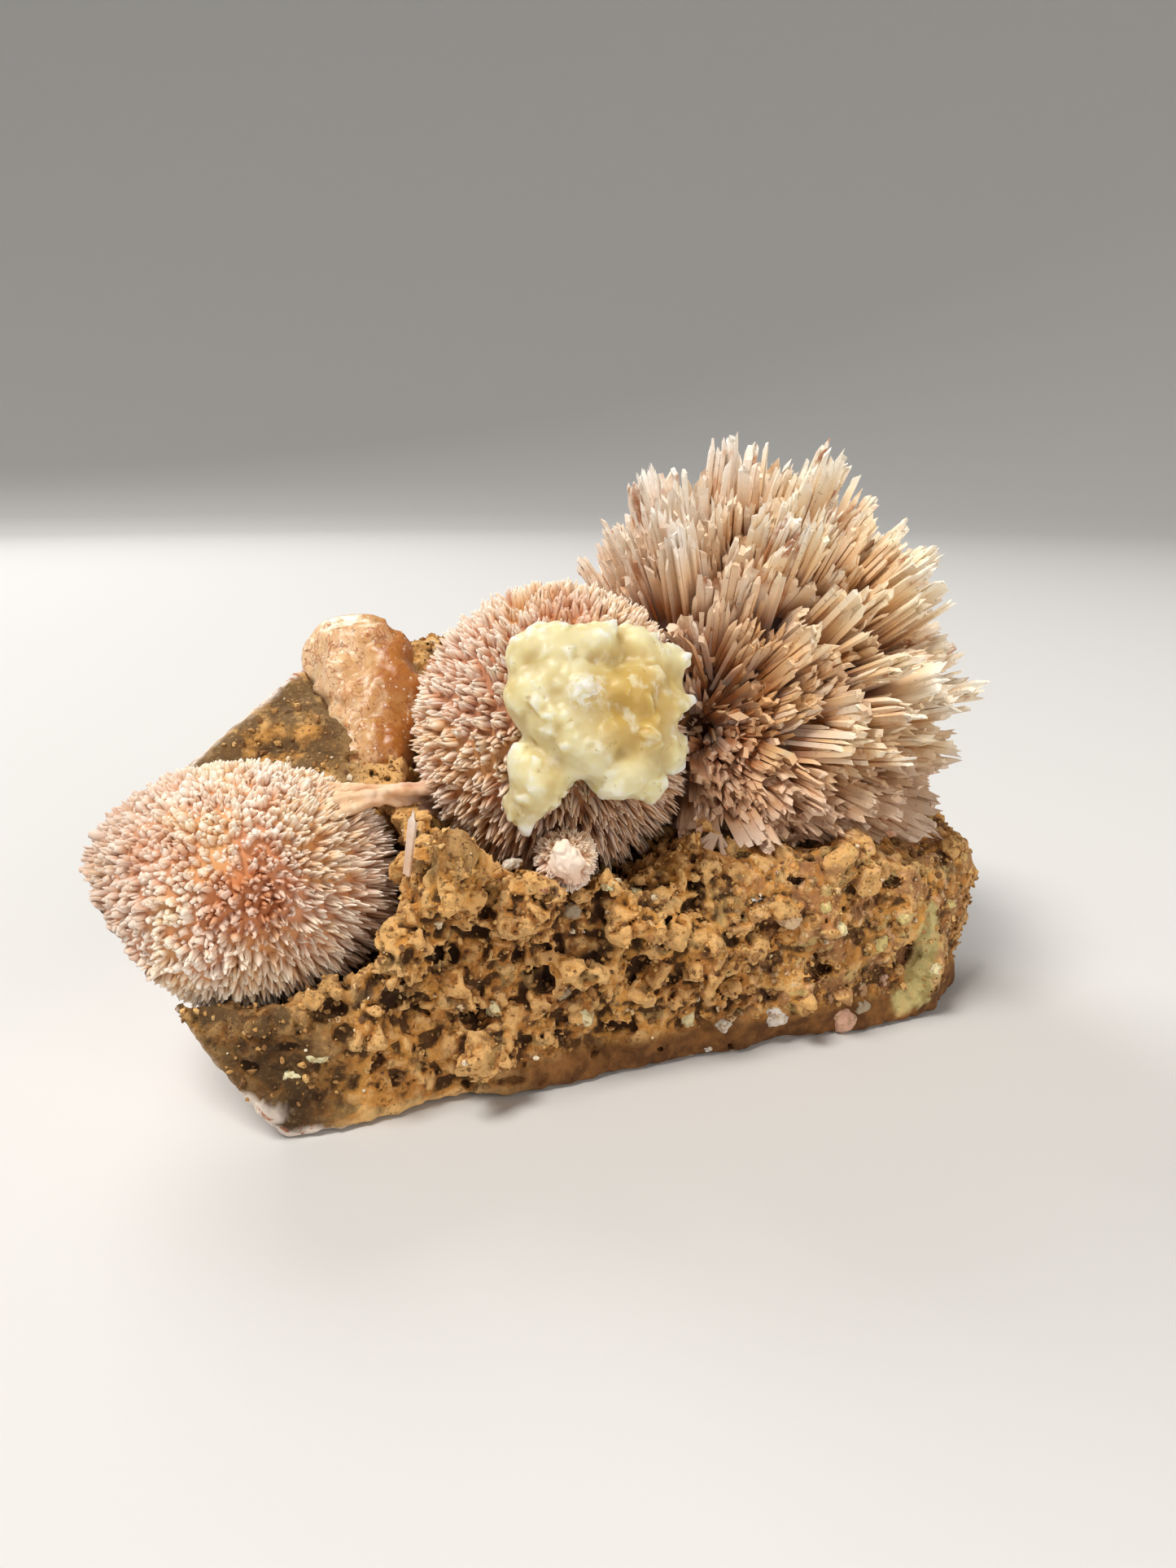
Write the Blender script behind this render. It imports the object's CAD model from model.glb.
"""Looks of the mordenite with stilbite specimen: needle balls, a blade spray and crystals on crumbly rock.

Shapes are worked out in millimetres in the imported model's frame, and turned to metres as each piece is made.
"""
import math

import bmesh
import bpy
import numpy as np
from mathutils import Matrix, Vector
from mathutils.bvhtree import BVHTree


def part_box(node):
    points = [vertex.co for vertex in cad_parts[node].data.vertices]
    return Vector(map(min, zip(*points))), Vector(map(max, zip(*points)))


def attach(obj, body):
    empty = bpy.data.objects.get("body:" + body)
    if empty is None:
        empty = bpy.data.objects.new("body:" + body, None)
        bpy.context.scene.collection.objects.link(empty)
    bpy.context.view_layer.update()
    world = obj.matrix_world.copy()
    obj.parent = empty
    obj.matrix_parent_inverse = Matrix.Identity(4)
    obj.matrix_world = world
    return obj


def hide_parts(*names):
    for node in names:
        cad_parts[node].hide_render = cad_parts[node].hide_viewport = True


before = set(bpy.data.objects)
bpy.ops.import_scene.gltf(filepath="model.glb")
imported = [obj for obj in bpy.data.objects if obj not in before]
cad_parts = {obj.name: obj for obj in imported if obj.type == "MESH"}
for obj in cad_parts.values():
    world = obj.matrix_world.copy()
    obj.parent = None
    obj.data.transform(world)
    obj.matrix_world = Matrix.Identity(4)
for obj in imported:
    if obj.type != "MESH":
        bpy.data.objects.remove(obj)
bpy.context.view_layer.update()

MM = 0.001
UP = np.array([0.0, 0.0, 1.0])

# The camera, in millimetres, and the photograph's frame in pixels
CAMERA_PLACE = np.array([0.0, -216.0, 101.5])
CAMERA_DOWN = math.radians(15)
CAMERA_LENS = 27.0
SENSOR = 36.0
PHOTO_SIZE = (1445, 1927)
PHOTO_FOCAL = CAMERA_LENS / SENSOR * PHOTO_SIZE[1]

# The floor's flat part and the bend at its rim, in metres
FLOOR_FLAT = 1.9
FLOOR_BEND = 2.2

# Saw cuts, each a point and the normal of the side that was sawn away
BASE_CUT = ((0, 0, 0), (0, 0, -1))
LEFT_CUT = ((-48, -51, 0), (-0.796, -0.121, -0.593))
SHOULDER_CUT = ((-81, -20, 42), (-0.68, 0.05, 0.73))
SAWN = (BASE_CUT, LEFT_CUT, SHOULDER_CUT)

# Rock: the field's step and margin, its layers of relief (size, height), how far it is sunk to make room for
# them, and the numbers of its lumps, vesicles, triangles and loose crumbs
ROCK_STEP = 0.5
ROCK_MARGIN = 3.0
ROCK_LAYERS = ((11.0, 1.4), (5.0, 1.0), (2.4, 0.8), (1.4, 0.5))
ROCK_BILLOWS = ((4.4, 1.3), (2.2, 0.8))
ROCK_GRIT = ((1.4, 0.3), (0.8, 0.4))
ROCK_SINK = 1.5
ROCK_CHUNKS = 7500
ROCK_VESICLES = 800
ROCK_TRIANGLES = 196000
ROCK_GRAINS = 7000
ROCK_WARMTH = (1.13, 1.0, 0.77)         # what the rock's colours are multiplied by
SMOOTH_BAND = (4.0, 9.0)                # heights between which the smooth band at the foot ends
CHUNK_FACETS = 9                        # flat sides of an angular lump or hollow
# Spots on the rock's right end: size, where they start in the noise, and colour
RIGHT_SPOTS = [
    (6.0, 0.52, (0.36, 0.19, 0.11)), (3.5, 0.58, (0.62, 0.52, 0.27)), (2.8, 0.60, (0.76, 0.52, 0.38)),
    (2.2, 0.62, (0.74, 0.66, 0.54)), (2.6, 0.61, (0.10, 0.055, 0.030)),
]
# Pits seen in the photograph: pixel, half width and half height in millimetres, and depth
ROCK_PITS = [
    (586, 1103, 1.6, 3.4, 4.5), (548, 1148, 1.9, 1.6, 3.0), (557, 1173, 1.8, 2.0, 3.5),
    (662, 1208, 2.2, 2.9, 4.5), (833, 1210, 1.1, 1.0, 2.5), (516, 1235, 2.2, 1.3, 3.0),
    (583, 1252, 3.4, 1.5, 3.5), (757, 1268, 3.8, 1.3, 3.5), (620, 1334, 4.8, 0.9, 1.6),
    (405, 1240, 2.6, 1.6, 3.0), (455, 1215, 1.6, 2.6, 3.0), (700, 1120, 2.6, 1.3, 2.5),
    (860, 1122, 2.2, 1.2, 2.5), (905, 1160, 1.8, 1.4, 2.5), (780, 1170, 1.6, 2.4, 3.0),
    (1010, 1190, 1.6, 1.2, 2.0), (520, 1060, 1.6, 1.6, 2.5), (940, 1225, 1.8, 0.9, 2.0),
    (470, 1290, 2.4, 1.0, 2.0), (350, 1290, 2.0, 1.0, 2.0), (1095, 1085, 2.0, 1.2, 2.0),
    (800, 1105, 3.0, 1.4, 2.5), (640, 1180, 1.4, 2.2, 3.0), (505, 1180, 1.8, 2.4, 3.0),
]
# Knobs seen in the photograph: pixel, and radius in millimetres
ROCK_NUBS = [
    (550, 1047, 4.2), (553, 1109, 4.0), (617, 1129, 2.2), (642, 1137, 2.6), (687, 1196, 2.4),
    (721, 1188, 2.8), (660, 1090, 2.8), (825, 1171, 4.0), (867, 1196, 3.0), (590, 1300, 3.6),
    (1176, 1042, 3.2), (1045, 1052, 5.0), (700, 1245, 3.0), (640, 1250, 2.6), (760, 1140, 2.4),
    (900, 1215, 2.8), (970, 1110, 3.2), (1005, 1150, 3.0), (480, 1150, 3.0), (570, 1215, 2.8),
    (790, 1225, 2.6), (930, 1120, 2.4),
]

# Needle balls: centre, radii, numbers of needles and tufts, where they are flatter, the way that their
# finer and longer needles face, the half widths of the coarse and fine ones, the share of blunt ones, how far
# the tips lean together, the core's share of the radius, and how dark, peach and pale they are
LEFT_BALL = dict(
    centre=np.array([-57.6, -30.0, 34.5]), radii=np.array([27.0, 24.0, 21.0]), needles=8800, tufts=1900,
    dips=[], shag=np.array([0.93, -0.1, -0.35]), widths=(0.60, 0.44), blunt=0.25, pull=0.5, core=0.905,
    dark=0.0, peach=0.4, pale=0.75, seed=5)
MIDDLE_BALL = dict(
    centre=np.array([-5.0, -8.0, 55.5]), radii=np.array([27.7, 27.7, 27.7]), needles=9600, tufts=1300,
    dips=[((0.62, -0.62, -0.48), 24, 0.14), ((0.97, -0.15, 0.15), 30, 0.24)],
    shag=np.array([0.5, -0.35, -0.79]), widths=(0.54, 0.38), blunt=0.05, pull=0.58, core=0.88, dark=0.75,
    peach=0.2, pale=0.35, seed=7)
BUD_BALL = dict(
    centre=np.array([-3.6, -33.6, 40.6]), radii=np.array([5.6, 8.0, 5.8]), needles=1500, tufts=130,
    dips=[((0.0, 0.1, 1.0), 55, 0.3)], shag=np.array([0.0, 0.5, 1.0]), widths=(0.38, 0.32), blunt=0.0,
    pull=0.45, core=0.60, dark=0.7, peach=0.1, pale=0.5, seed=9)
BUD_NOSE = [
    ((0.8, -6.6, 1.0), 2.3), ((1.2, -5.9, -1.3), 1.6), ((-0.3, -6.8, 2.9), 1.8), ((-0.9, -6.4, 0.4), 1.7),
]
NEEDLE_SIDES = 4
NEEDLE_RINGS = np.array([0.0, 0.62, 0.92])          # where a needle's rings are, as shares of its length
BLUNT_NEEDLE = np.array([1.1, 1.05, 0.75])          # its half widths there, as shares of its usual one
SHARP_NEEDLE = np.array([1.2, 0.86, 0.34])
# Colours from the foot to the tip of pink, cream and brown needles
NEEDLE_RAMPS = [
    [(0.0, (0.24, 0.070, 0.030)), (0.5, (0.64, 0.31, 0.17)), (0.8, (0.87, 0.64, 0.49)),
     (1.0, (0.97, 0.89, 0.80))],
    [(0.0, (0.28, 0.090, 0.025)), (0.5, (0.68, 0.36, 0.145)), (0.8, (0.88, 0.64, 0.42)),
     (1.0, (0.95, 0.84, 0.68))],
    [(0.0, (0.085, 0.026, 0.009)), (0.5, (0.32, 0.12, 0.042)), (0.83, (0.62, 0.34, 0.165)),
     (1.0, (0.84, 0.59, 0.39))],
]

# Peach patches on the balls: pixel and size in millimetres; then single pixels of the yellow cluster's druse,
# the rock's dark knob and the cluster's golden part
LEFT_PATCHES = [(305, 1090, 5.4), (285, 1120, 4.6), (320, 1110, 4.0), (160, 1060, 2.4), (225, 1050, 2.4)]
MIDDLE_PATCHES = [(512, 800, 2.2), (505, 812, 1.6), (690, 745, 5.0)]
DRUSE_PIXEL = (720, 849)
KNOB_PIXEL = (550, 1047)
GOLDEN_PIXEL = (785, 868)

# Blade spray: its centre, the sphere that its tips reach, and where it is shorter (direction, width in
# degrees, share)
SPRAY_CENTRE = np.array([24.0, 16.0, 48.0])
SPRAY_ENVELOPE_CENTRE = np.array([30.0, 16.0, 60.0])
SPRAY_ENVELOPE_RADIUS = 50.2
SPRAY_LEAST = 16.0
SPRAY_CORE = 0.70                   # the solid core's share of the blades' length
SPRAY_DIPS = [
    ((-0.15, -0.92, 0.34), 15, 0.46), ((-0.1, -0.97, 0.22), 28, 0.18), ((-0.8, 0.0, 0.6), 30, 0.26),
    ((1.0, -0.1, -0.05), 20, 0.14), ((0.1, 1.0, 0.1), 50, 0.20), ((0.1, -1.0, 0.3), 50, 0.10),
    ((0.8, -0.1, 0.6), 18, 0.07),
]
SPRAY_CORE_DIPS = [((-0.755, -0.625, 0.195), 45, 0.35)]     # the core keeps back beside the middle ball
# Blades rooted closer than the first of these to the rock's face stand out of the core by the second
SPRAY_RIM = (2.6, 2.6)
SPRAY_BLADES = 6400
SPRAY_BUNDLES = 760
SPRAY_HOLLOW = np.array([-0.15, -0.92, 0.34])       # where the dark hollow opens, with curled petals round it
SPRAY_BROAD = np.array([0.75, -0.55, -0.35])        # where the broad flat blades are
LATH = 0.75                         # usual width of the laths that a blade is made of
# Colours from the foot to the tip of warm and pale blades
BLADE_RAMPS = [
    [(0.0, (0.045, 0.014, 0.005)), (0.30, (0.32, 0.11, 0.028)), (0.58, (0.86, 0.55, 0.27)),
     (0.84, (0.96, 0.80, 0.56)), (1.0, (0.99, 0.94, 0.82))],
    [(0.0, (0.06, 0.020, 0.009)), (0.30, (0.40, 0.15, 0.055)), (0.58, (0.92, 0.71, 0.53)),
     (0.84, (0.98, 0.89, 0.81)), (1.0, (0.99, 0.97, 0.95))],
]

# Yellow cluster: (x, z, radius) of each lobe, seated on a sphere round the middle ball
YELLOW_SEAT = 29.5
YELLOW_TRIANGLES = 46000
YELLOW_LOBES = [
    (-8.8, 73.3, 3.9), (-10.0, 67.4, 3.4), (-4.2, 74.0, 4.2), (1.6, 74.4, 3.9), (7.6, 73.4, 3.7),
    (12.8, 70.4, 3.2), (12.3, 65.1, 3.7), (6.2, 67.1, 4.4), (-0.3, 67.4, 4.6), (-6.1, 63.9, 3.6),
    (-2.9, 60.8, 3.3), (2.9, 61.1, 3.4), (8.8, 60.6, 3.4), (13.0, 57.7, 2.9), (4.0, 53.9, 2.9),
    (9.7, 52.4, 2.6), (-6.5, 54.3, 3.4), (-9.4, 56.6, 2.6), (-10.7, 49.2, 2.6), (0.3, 58.1, 2.6),
    (-5.6, 69.4, 3.3), (9.9, 69.4, 3.1), (6.8, 55.2, 3.0), (-8.6, 51.8, 2.9),
]
# Peach sheaf: its lobes, how much larger they are made, its folds (size, height), and its colours from left
# to right
PEACH_LOBES = [
    ((-48.6, 7.5, 67.0), 5.4), ((-42.8, 6.0, 68.6), 5.6), ((-37.4, 4.0, 67.8), 4.8),
    ((-35.2, -0.5, 61.6), 4.8), ((-35.0, -4.0, 56.4), 4.6), ((-37.5, -8.0, 52.5), 4.6),
    ((-41.0, -2.0, 59.0), 5.8), ((-45.7, 3.0, 62.9), 5.4), ((-39.2, -11.5, 49.8), 3.2),
    ((-43.0, 10.0, 61.0), 7.5), ((-38.0, 4.0, 55.0), 7.5), ((-37.0, -3.0, 49.0), 5.0),
    ((-44.0, -3.5, 55.0), 4.2), ((-41.5, -8.0, 51.0), 3.8),
]
PEACH_SWELL = 0.7
PEACH_TRIANGLES = 36000
PEACH_BILLOWS = ((5.0, 1.3), (2.4, 0.5))
PEACH_RAMP = [(0.0, (0.80, 0.57, 0.35)), (0.25, (0.74, 0.47, 0.25)), (0.5, (0.62, 0.36, 0.155)),
              (0.75, (0.53, 0.25, 0.075)), (0.95, (0.47, 0.18, 0.036))]

# The room that the web takes: centres and radii
BRIDGE_ROOM = [
    ((-43.0, -28.0, 47.6), (3.4, 3.2, 2.4)), ((-39.0, -27.0, 49.4), (3.6, 3.2, 1.9)),
    ((-34.6, -25.6, 48.8), (3.4, 3.0, 1.6)), ((-30.0, -23.6, 48.2), (3.6, 3.2, 1.9)),
    ((-25.6, -21.0, 48.8), (3.4, 3.2, 2.6)), ((-22.4, -19.2, 49.6), (3.4, 3.2, 3.0)),
]
# The web's strands run side by side: first and last pixels where they start, cross and end
WEB_STARTS = ((392, 944), (424, 1004))
WEB_CROSSING = ((468, 967), (470, 979))
WEB_ENDS = ((510, 930), (538, 1010))
WEB_STRANDS = 17
WEB_RADIUS = 0.62
WEB_TRIANGLES = 14000

# Places where the rock keeps to its plain shape, so that it doesn't grow over its neighbours
ROCK_NEIGHBOURS = [(ball["centre"], ball["radii"] + room)
                   for ball, room in ((LEFT_BALL, -0.8), (MIDDLE_BALL, -0.8), (BUD_BALL, 0.9))]
ROCK_NEIGHBOURS += [(centre, (radius + 2.2,) * 3) for centre, radius in PEACH_LOBES]
ROCK_NEIGHBOURS += [(centre, tuple(radius + 1.2 for radius in radii)) for centre, radii in BRIDGE_ROOM]

# Crystals and tufts set in the rock: pixel, half width and half height in millimetres, and kind
INCLUSION_COLOURS = {
    "calcite": (0.70, 0.56, 0.22), "orange": (0.72, 0.34, 0.09), "peach": (0.88, 0.60, 0.36),
    "pink": (0.72, 0.42, 0.30), "white": (0.74, 0.66, 0.58), "cream": (0.84, 0.72, 0.42),
    "grey": (0.36, 0.29, 0.20), "red": (0.28, 0.06, 0.02),
}
INCLUSIONS = [
    (1084, 1159, 1.5, 2.2, "calcite"), (1112, 1131, 1.6, 1.5, "calcite"), (1016, 1117, 1.6, 1.8, "calcite"),
    (1164, 1112, 2.4, 1.1, "calcite"), (1034, 1140, 1.5, 1.6, "cream"), (972, 1064, 1.7, 1.5, "orange"),
    (904, 1093, 1.7, 2.3, "orange"), (978, 1131, 3.2, 1.9, "peach"), (1035, 1252, 3.1, 2.7, "pink"),
    (952, 1253, 3.0, 2.5, "white"), (891, 1261, 1.8, 1.5, "white"), (606, 1241, 1.8, 2.4, "cream"),
    (696, 1221, 1.8, 1.2, "grey"), (721, 1249, 2.2, 1.7, "cream"), (783, 1096, 1.4, 1.3, "cream"),
    (844, 1252, 1.6, 1.7, "cream"), (631, 1063, 1.9, 1.0, "white"), (704, 1115, 1.9, 1.5, "grey"),
    (746, 1089, 1.3, 0.9, "cream"), (666, 1095, 1.0, 0.5, "red"), (1085, 1205, 1.1, 1.6, "pink"),
    (355, 1322, 1.8, 0.8, "cream"), (390, 1302, 2.4, 1.2, "cream"), (870, 1290, 1.2, 0.6, "white"),
    (1062, 1236, 2.4, 1.2, "grey"), (930, 1105, 1.3, 0.7, "white"), (1150, 1190, 1.2, 1.5, "cream"),
]
# The calcite vein, flush with the rock at its right end: pixels along it, and its radius in millimetres
VEIN = [(1148, 1122, 2.0), (1144, 1146, 2.8), (1136, 1172, 2.4),
        (1130, 1198, 3.0), (1122, 1220, 3.4), (1108, 1232, 2.6)]
# Loose pale blades: foot pixel, tip pixel, length and width in millimetres
SPLINTERS = [
    (507, 1064, 530, 1012, 8.0, 1.4), (868, 1038, 826, 1074, 7.0, 0.9), (871, 1038, 838, 1080, 7.5, 1.0),
    (874, 1038, 852, 1082, 7.0, 0.9), (877, 1038, 864, 1084, 7.5, 1.1), (881, 1038, 878, 1082, 7.0, 0.9),
    (884, 1038, 892, 1080, 7.0, 1.0), (888, 1039, 904, 1076, 6.5, 0.9), (891, 1040, 916, 1070, 6.0, 0.9),
]
SPLINTER_ROOT = 2.0                 # how much of each is in the rock
SPLINTER_FACING = np.array([-0.35, -0.75, 0.5])


def unit(vectors):
    """Vectors of length one."""
    return vectors / np.linalg.norm(vectors, axis=-1, keepdims=True)


def fade(values, low, high):
    """A smooth step from 0 at low to 1 at high."""
    part = np.clip((values - low) / (high - low), 0.0, 1.0)
    return part * part * (3.0 - 2.0 * part)


def past_cut(points, cut):
    """How far points lie beyond a saw cut, in millimetres."""
    return (points - np.array(cut[0], float)) @ unit(np.array(cut[1], float))


def pressed(points, cut):
    """Points beyond a saw cut, brought back onto it."""
    return points - np.maximum(past_cut(points, cut), 0.0)[:, None] * unit(np.array(cut[1], float))


def face_normals(corners):
    """The normal of each three-cornered face, twice as long as its area."""
    return np.cross(corners[:, 1] - corners[:, 0], corners[:, 2] - corners[:, 0])


def cad_tree(name):
    """The surface of a CAD node, in millimetres."""
    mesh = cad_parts[name].data
    mesh.calc_loop_triangles()
    points = [tuple(vert.co / MM) for vert in mesh.vertices]
    faces = [tuple(triangle.vertices) for triangle in mesh.loop_triangles]
    return BVHTree.FromPolygons(points, faces)


def camera_ray(u, v):
    """The camera's ray through a pixel of the photograph."""
    forward = np.array([0.0, math.cos(CAMERA_DOWN), -math.sin(CAMERA_DOWN)])
    upward = np.array([0.0, math.sin(CAMERA_DOWN), math.cos(CAMERA_DOWN)])
    across = (u - PHOTO_SIZE[0] / 2) / PHOTO_FOCAL
    height = (PHOTO_SIZE[1] / 2 - v) / PHOTO_FOCAL
    return unit(forward + np.array([across, 0.0, 0.0]) + upward * height)


def on_surface(tree, u, v):
    """Where a pixel of the photograph meets a surface, and the surface's normal there."""
    place, normal, _, _ = tree.ray_cast(Vector(CAMERA_PLACE), Vector(camera_ray(u, v)))
    return np.array(place), np.array(normal)


def new_object(name, points, faces):
    """An object from points and lists of faces; the faces of a list have the same number of corners."""
    mesh = bpy.data.meshes.new(name)
    mesh.vertices.add(len(points))
    mesh.vertices.foreach_set("co", np.asarray(points).astype(np.float32).ravel())
    corners = np.concatenate([part.ravel() for part in faces])
    sizes = np.concatenate([np.full(len(part), part.shape[1]) for part in faces])
    mesh.loops.add(len(corners))
    mesh.loops.foreach_set("vertex_index", corners.astype(np.int32))
    mesh.polygons.add(len(sizes))
    mesh.polygons.foreach_set("loop_start", (np.cumsum(sizes) - sizes).astype(np.int32))
    mesh.update(calc_edges=True)
    thing = bpy.data.objects.new(name, mesh)
    bpy.context.scene.collection.objects.link(thing)
    return thing


def add_piece(name, points, faces, material, nodes=(), marks=None, smooth=False):
    """A piece made from points in millimetres, with marks for its material, on the specimen's one body."""
    piece = new_object(name, points * MM, faces)
    for key, values in (marks or {}).items():
        layer = piece.data.attributes.new(key, "FLOAT", "POINT")
        layer.data.foreach_set("value", np.full(len(points), values, np.float32))
    piece.data.polygons.foreach_set("use_smooth", np.full(len(piece.data.polygons), smooth))
    piece.data.materials.append(material)
    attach(piece, "root")
    if nodes:
        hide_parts(*nodes)


class Field:
    """A grid of signed distances in millimetres, negative inside."""

    def __init__(self, low, high, step):
        self.low, self.step = np.asarray(low, float), step
        self.shape = tuple(np.ceil((np.asarray(high) - self.low) / step).astype(int) + 1)
        self.axes = [self.low[k] + step * np.arange(self.shape[k]) for k in range(3)]
        self.values = np.full(self.shape, 1e3, np.float32)

    def spread(self, coarse, places, smooth):
        """Carry a coarse grid onto this one; places holds each axis's positions in the coarse grid."""
        for axis, where in enumerate(places):
            first = np.clip(np.floor(where).astype(int), 0, coarse.shape[axis] - 2)
            part = (where - first).astype(np.float32)
            part = part * part * (3 - 2 * part) if smooth else part
            part = part.reshape([-1 if k == axis else 1 for k in range(3)])
            coarse = np.take(coarse, first, axis) * (1 - part) + np.take(coarse, first + 1, axis) * part
        return coarse

    def noise(self, size, draw):
        """Soft noise between -1 and 1 with lumps of the given size."""
        places = [(axis - axis[0]) / size + draw.uniform(0, 1) for axis in self.axes]
        coarse = draw.uniform(-1, 1, [int(where[-1]) + 2 for where in places]).astype(np.float32)
        return self.spread(coarse, places, True)

    def lumps(self, draw, *layers):
        """Layers of noise together; each is a size and a height."""
        return sum(self.noise(size, draw) * height for size, height in layers)

    def billow(self, draw, layers, level, rough=1.0):
        """Raise rounded swellings with creases between them; each layer is a size and a height."""
        for size, height in layers:
            self.values += (np.abs(self.noise(size, draw)) - level) * -height * rough

    def join(self, part, distance, softness):
        """Add a shape to part of the grid, melting into what is there."""
        block = self.values[part]
        meet = np.clip(0.5 + 0.5 * (block - distance) / softness, 0, 1)
        self.values[part] = block + (distance - block) * meet - softness * meet * (1 - meet)

    def cut(self, part, distance):
        """Take a shape out of part of the grid."""
        self.values[part] = np.maximum(self.values[part], -distance)

    def read(self, values, points):
        """Read values that are given on this grid at any points."""
        where = (points - self.low) / self.step
        first = np.clip(np.floor(where).astype(int), 0, np.array(self.shape) - 2)
        total = np.zeros(len(points))
        for corner in np.ndindex(2, 2, 2):
            weight = np.prod(np.where(corner, where - first, 1 - (where - first)), 1)
            total += values[tuple((first + corner).T)] * weight
        return total

    def block(self, centre, reach):
        """The part of the grid near a place, and the place's offsets to its points."""
        first = np.maximum(np.floor((centre - reach - self.low) / self.step).astype(int), 0)
        last = np.minimum(np.ceil((centre + reach - self.low) / self.step).astype(int) + 1, self.shape)
        if np.any(last - first < 1):
            return None, None
        part = tuple(slice(a, b) for a, b in zip(first, last))
        offsets = [self.axes[k][part[k]] - centre[k] for k in range(3)]
        return part, np.stack(np.meshgrid(*offsets, indexing="ij"), -1).astype(np.float32)

    def past_cut(self, cut):
        """How far the grid's points lie beyond a saw cut."""
        axes = np.meshgrid(*self.axes, indexing="ij", sparse=True)
        return sum((axis - at) * way for axis, at, way in zip(axes, cut[0], unit(np.array(cut[1], float))))

    def nearest(self, place):
        """The surface's place nearest to a place, and its outward direction there."""
        spot = np.clip(((place - self.low) / self.step).astype(int), 1, np.array(self.shape) - 2)
        steps = np.eye(3, dtype=int)
        rise = np.array([self.values[tuple(spot + way)] - self.values[tuple(spot - way)] for way in steps])
        outward = rise / max(np.linalg.norm(rise), 1e-6)
        return place - outward * self.values[tuple(spot)], outward

    def skin(self):
        """The largest closed surface where the field changes sign, as points and four-cornered faces."""
        cells = np.array(self.shape) - 1
        spots, quads = [], []
        for axis in range(3):
            side, top = (axis + 1) % 3, (axis + 2) % 3
            head = tuple(slice(0, -1) if k == axis else slice(None) for k in range(3))
            tail = tuple(slice(1, None) if k == axis else slice(None) for k in range(3))
            before, after = self.values[head], self.values[tail]
            index = np.argwhere((before < 0) != (after < 0))
            across = index[:, [side, top]]
            index = index[np.all((across > 0) & (across < cells[[side, top]]), 1)]
            near, far = before[tuple(index.T)], after[tuple(index.T)]
            spot = index.astype(float)
            spot[:, axis] += near / (near - far)
            corners = []
            for back, down in ((0, 0), (1, 0), (1, 1), (0, 1)):
                cell = index.copy()
                cell[:, side] -= back
                cell[:, top] -= down
                corners.append(np.ravel_multi_index(cell.T, cells))
            quad = np.stack(corners, 1)
            quad[near > 0] = quad[near > 0][:, ::-1]
            spots.append(np.repeat(spot, 4, axis=0))
            quads.append(quad)
        _, quad = np.unique(np.concatenate(quads).ravel(), return_inverse=True)
        spots = np.concatenate(spots)
        share = np.bincount(quad)
        points = np.stack([np.bincount(quad, spots[:, k]) / share for k in range(3)], 1)
        return largest_part(self.low + self.step * points, quad.reshape(-1, 4))


def largest_part(points, faces):
    """Keep only the largest connected part of a surface."""
    label = np.arange(len(points))
    while True:
        least = label[faces].min(1)
        fresh = label.copy()
        for corner in range(faces.shape[1]):
            np.minimum.at(fresh, faces[:, corner], least)
        fresh = fresh[fresh]
        if np.array_equal(fresh, label):
            break
        label = fresh
    kept = label == np.bincount(label).argmax()
    number = np.cumsum(kept) - 1
    return points[kept], number[faces[kept[faces[:, 0]]]]


def inside_votes(tree, axes):
    """Which points of a grid lie inside a closed surface, as seen along at least two of the three axes."""
    votes = np.zeros([len(axis) for axis in axes], int)
    for axis in range(3):
        way = Vector(np.eye(3)[axis])
        side, top = (axis + 1) % 3, (axis + 2) % 3
        for i, first in enumerate(axes[side]):
            for j, second in enumerate(axes[top]):
                start = np.empty(3)
                start[axis], start[side], start[top] = axes[axis][0] - 1.0, first, second
                crossings = []
                hit = tree.ray_cast(Vector(start), way)[0]
                while hit is not None:
                    crossings.append(hit[axis])
                    hit = tree.ray_cast(hit + way * 1e-3, way)[0]
                line = [0, 0, 0]
                line[axis], line[side], line[top] = slice(None), i, j
                votes[tuple(line)] += np.searchsorted(crossings, axes[axis]) % 2
    return votes > 1


def tree_field(field, tree, coarse_step):
    """Fill a field with the signed distance to a CAD surface, measured on a coarser grid."""
    axes = [np.arange(axis[0], axis[-1] + coarse_step, coarse_step) for axis in field.axes]
    coarse = np.empty([len(axis) for axis in axes], np.float32)
    for spot in np.ndindex(coarse.shape):
        place = [axis[n] for axis, n in zip(axes, spot)]
        coarse[spot] = tree.find_nearest(place)[3]
    coarse[inside_votes(tree, axes)] *= -1
    places = [(fine - axis[0]) / coarse_step for fine, axis in zip(field.axes, axes)]
    field.values = field.spread(coarse, places, False)


def surface_samples(name, count, draw):
    """Random places and normals on a CAD node's surface, in millimetres."""
    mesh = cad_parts[name].data
    mesh.calc_loop_triangles()
    points = np.array([vert.co for vert in mesh.vertices]) / MM
    corners = points[np.array([triangle.vertices for triangle in mesh.loop_triangles])]
    normal = face_normals(corners)
    area = np.linalg.norm(normal, axis=1)
    chosen = draw.choice(len(area), count, p=area / area.sum())
    first, second = draw.random(count), draw.random(count)
    flip = first + second > 1
    first[flip], second[flip] = 1 - first[flip], 1 - second[flip]
    a, b, c = corners[chosen, 0], corners[chosen, 1], corners[chosen, 2]
    return a + (b - a) * first[:, None] + (c - a) * second[:, None], unit(normal[chosen])


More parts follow.
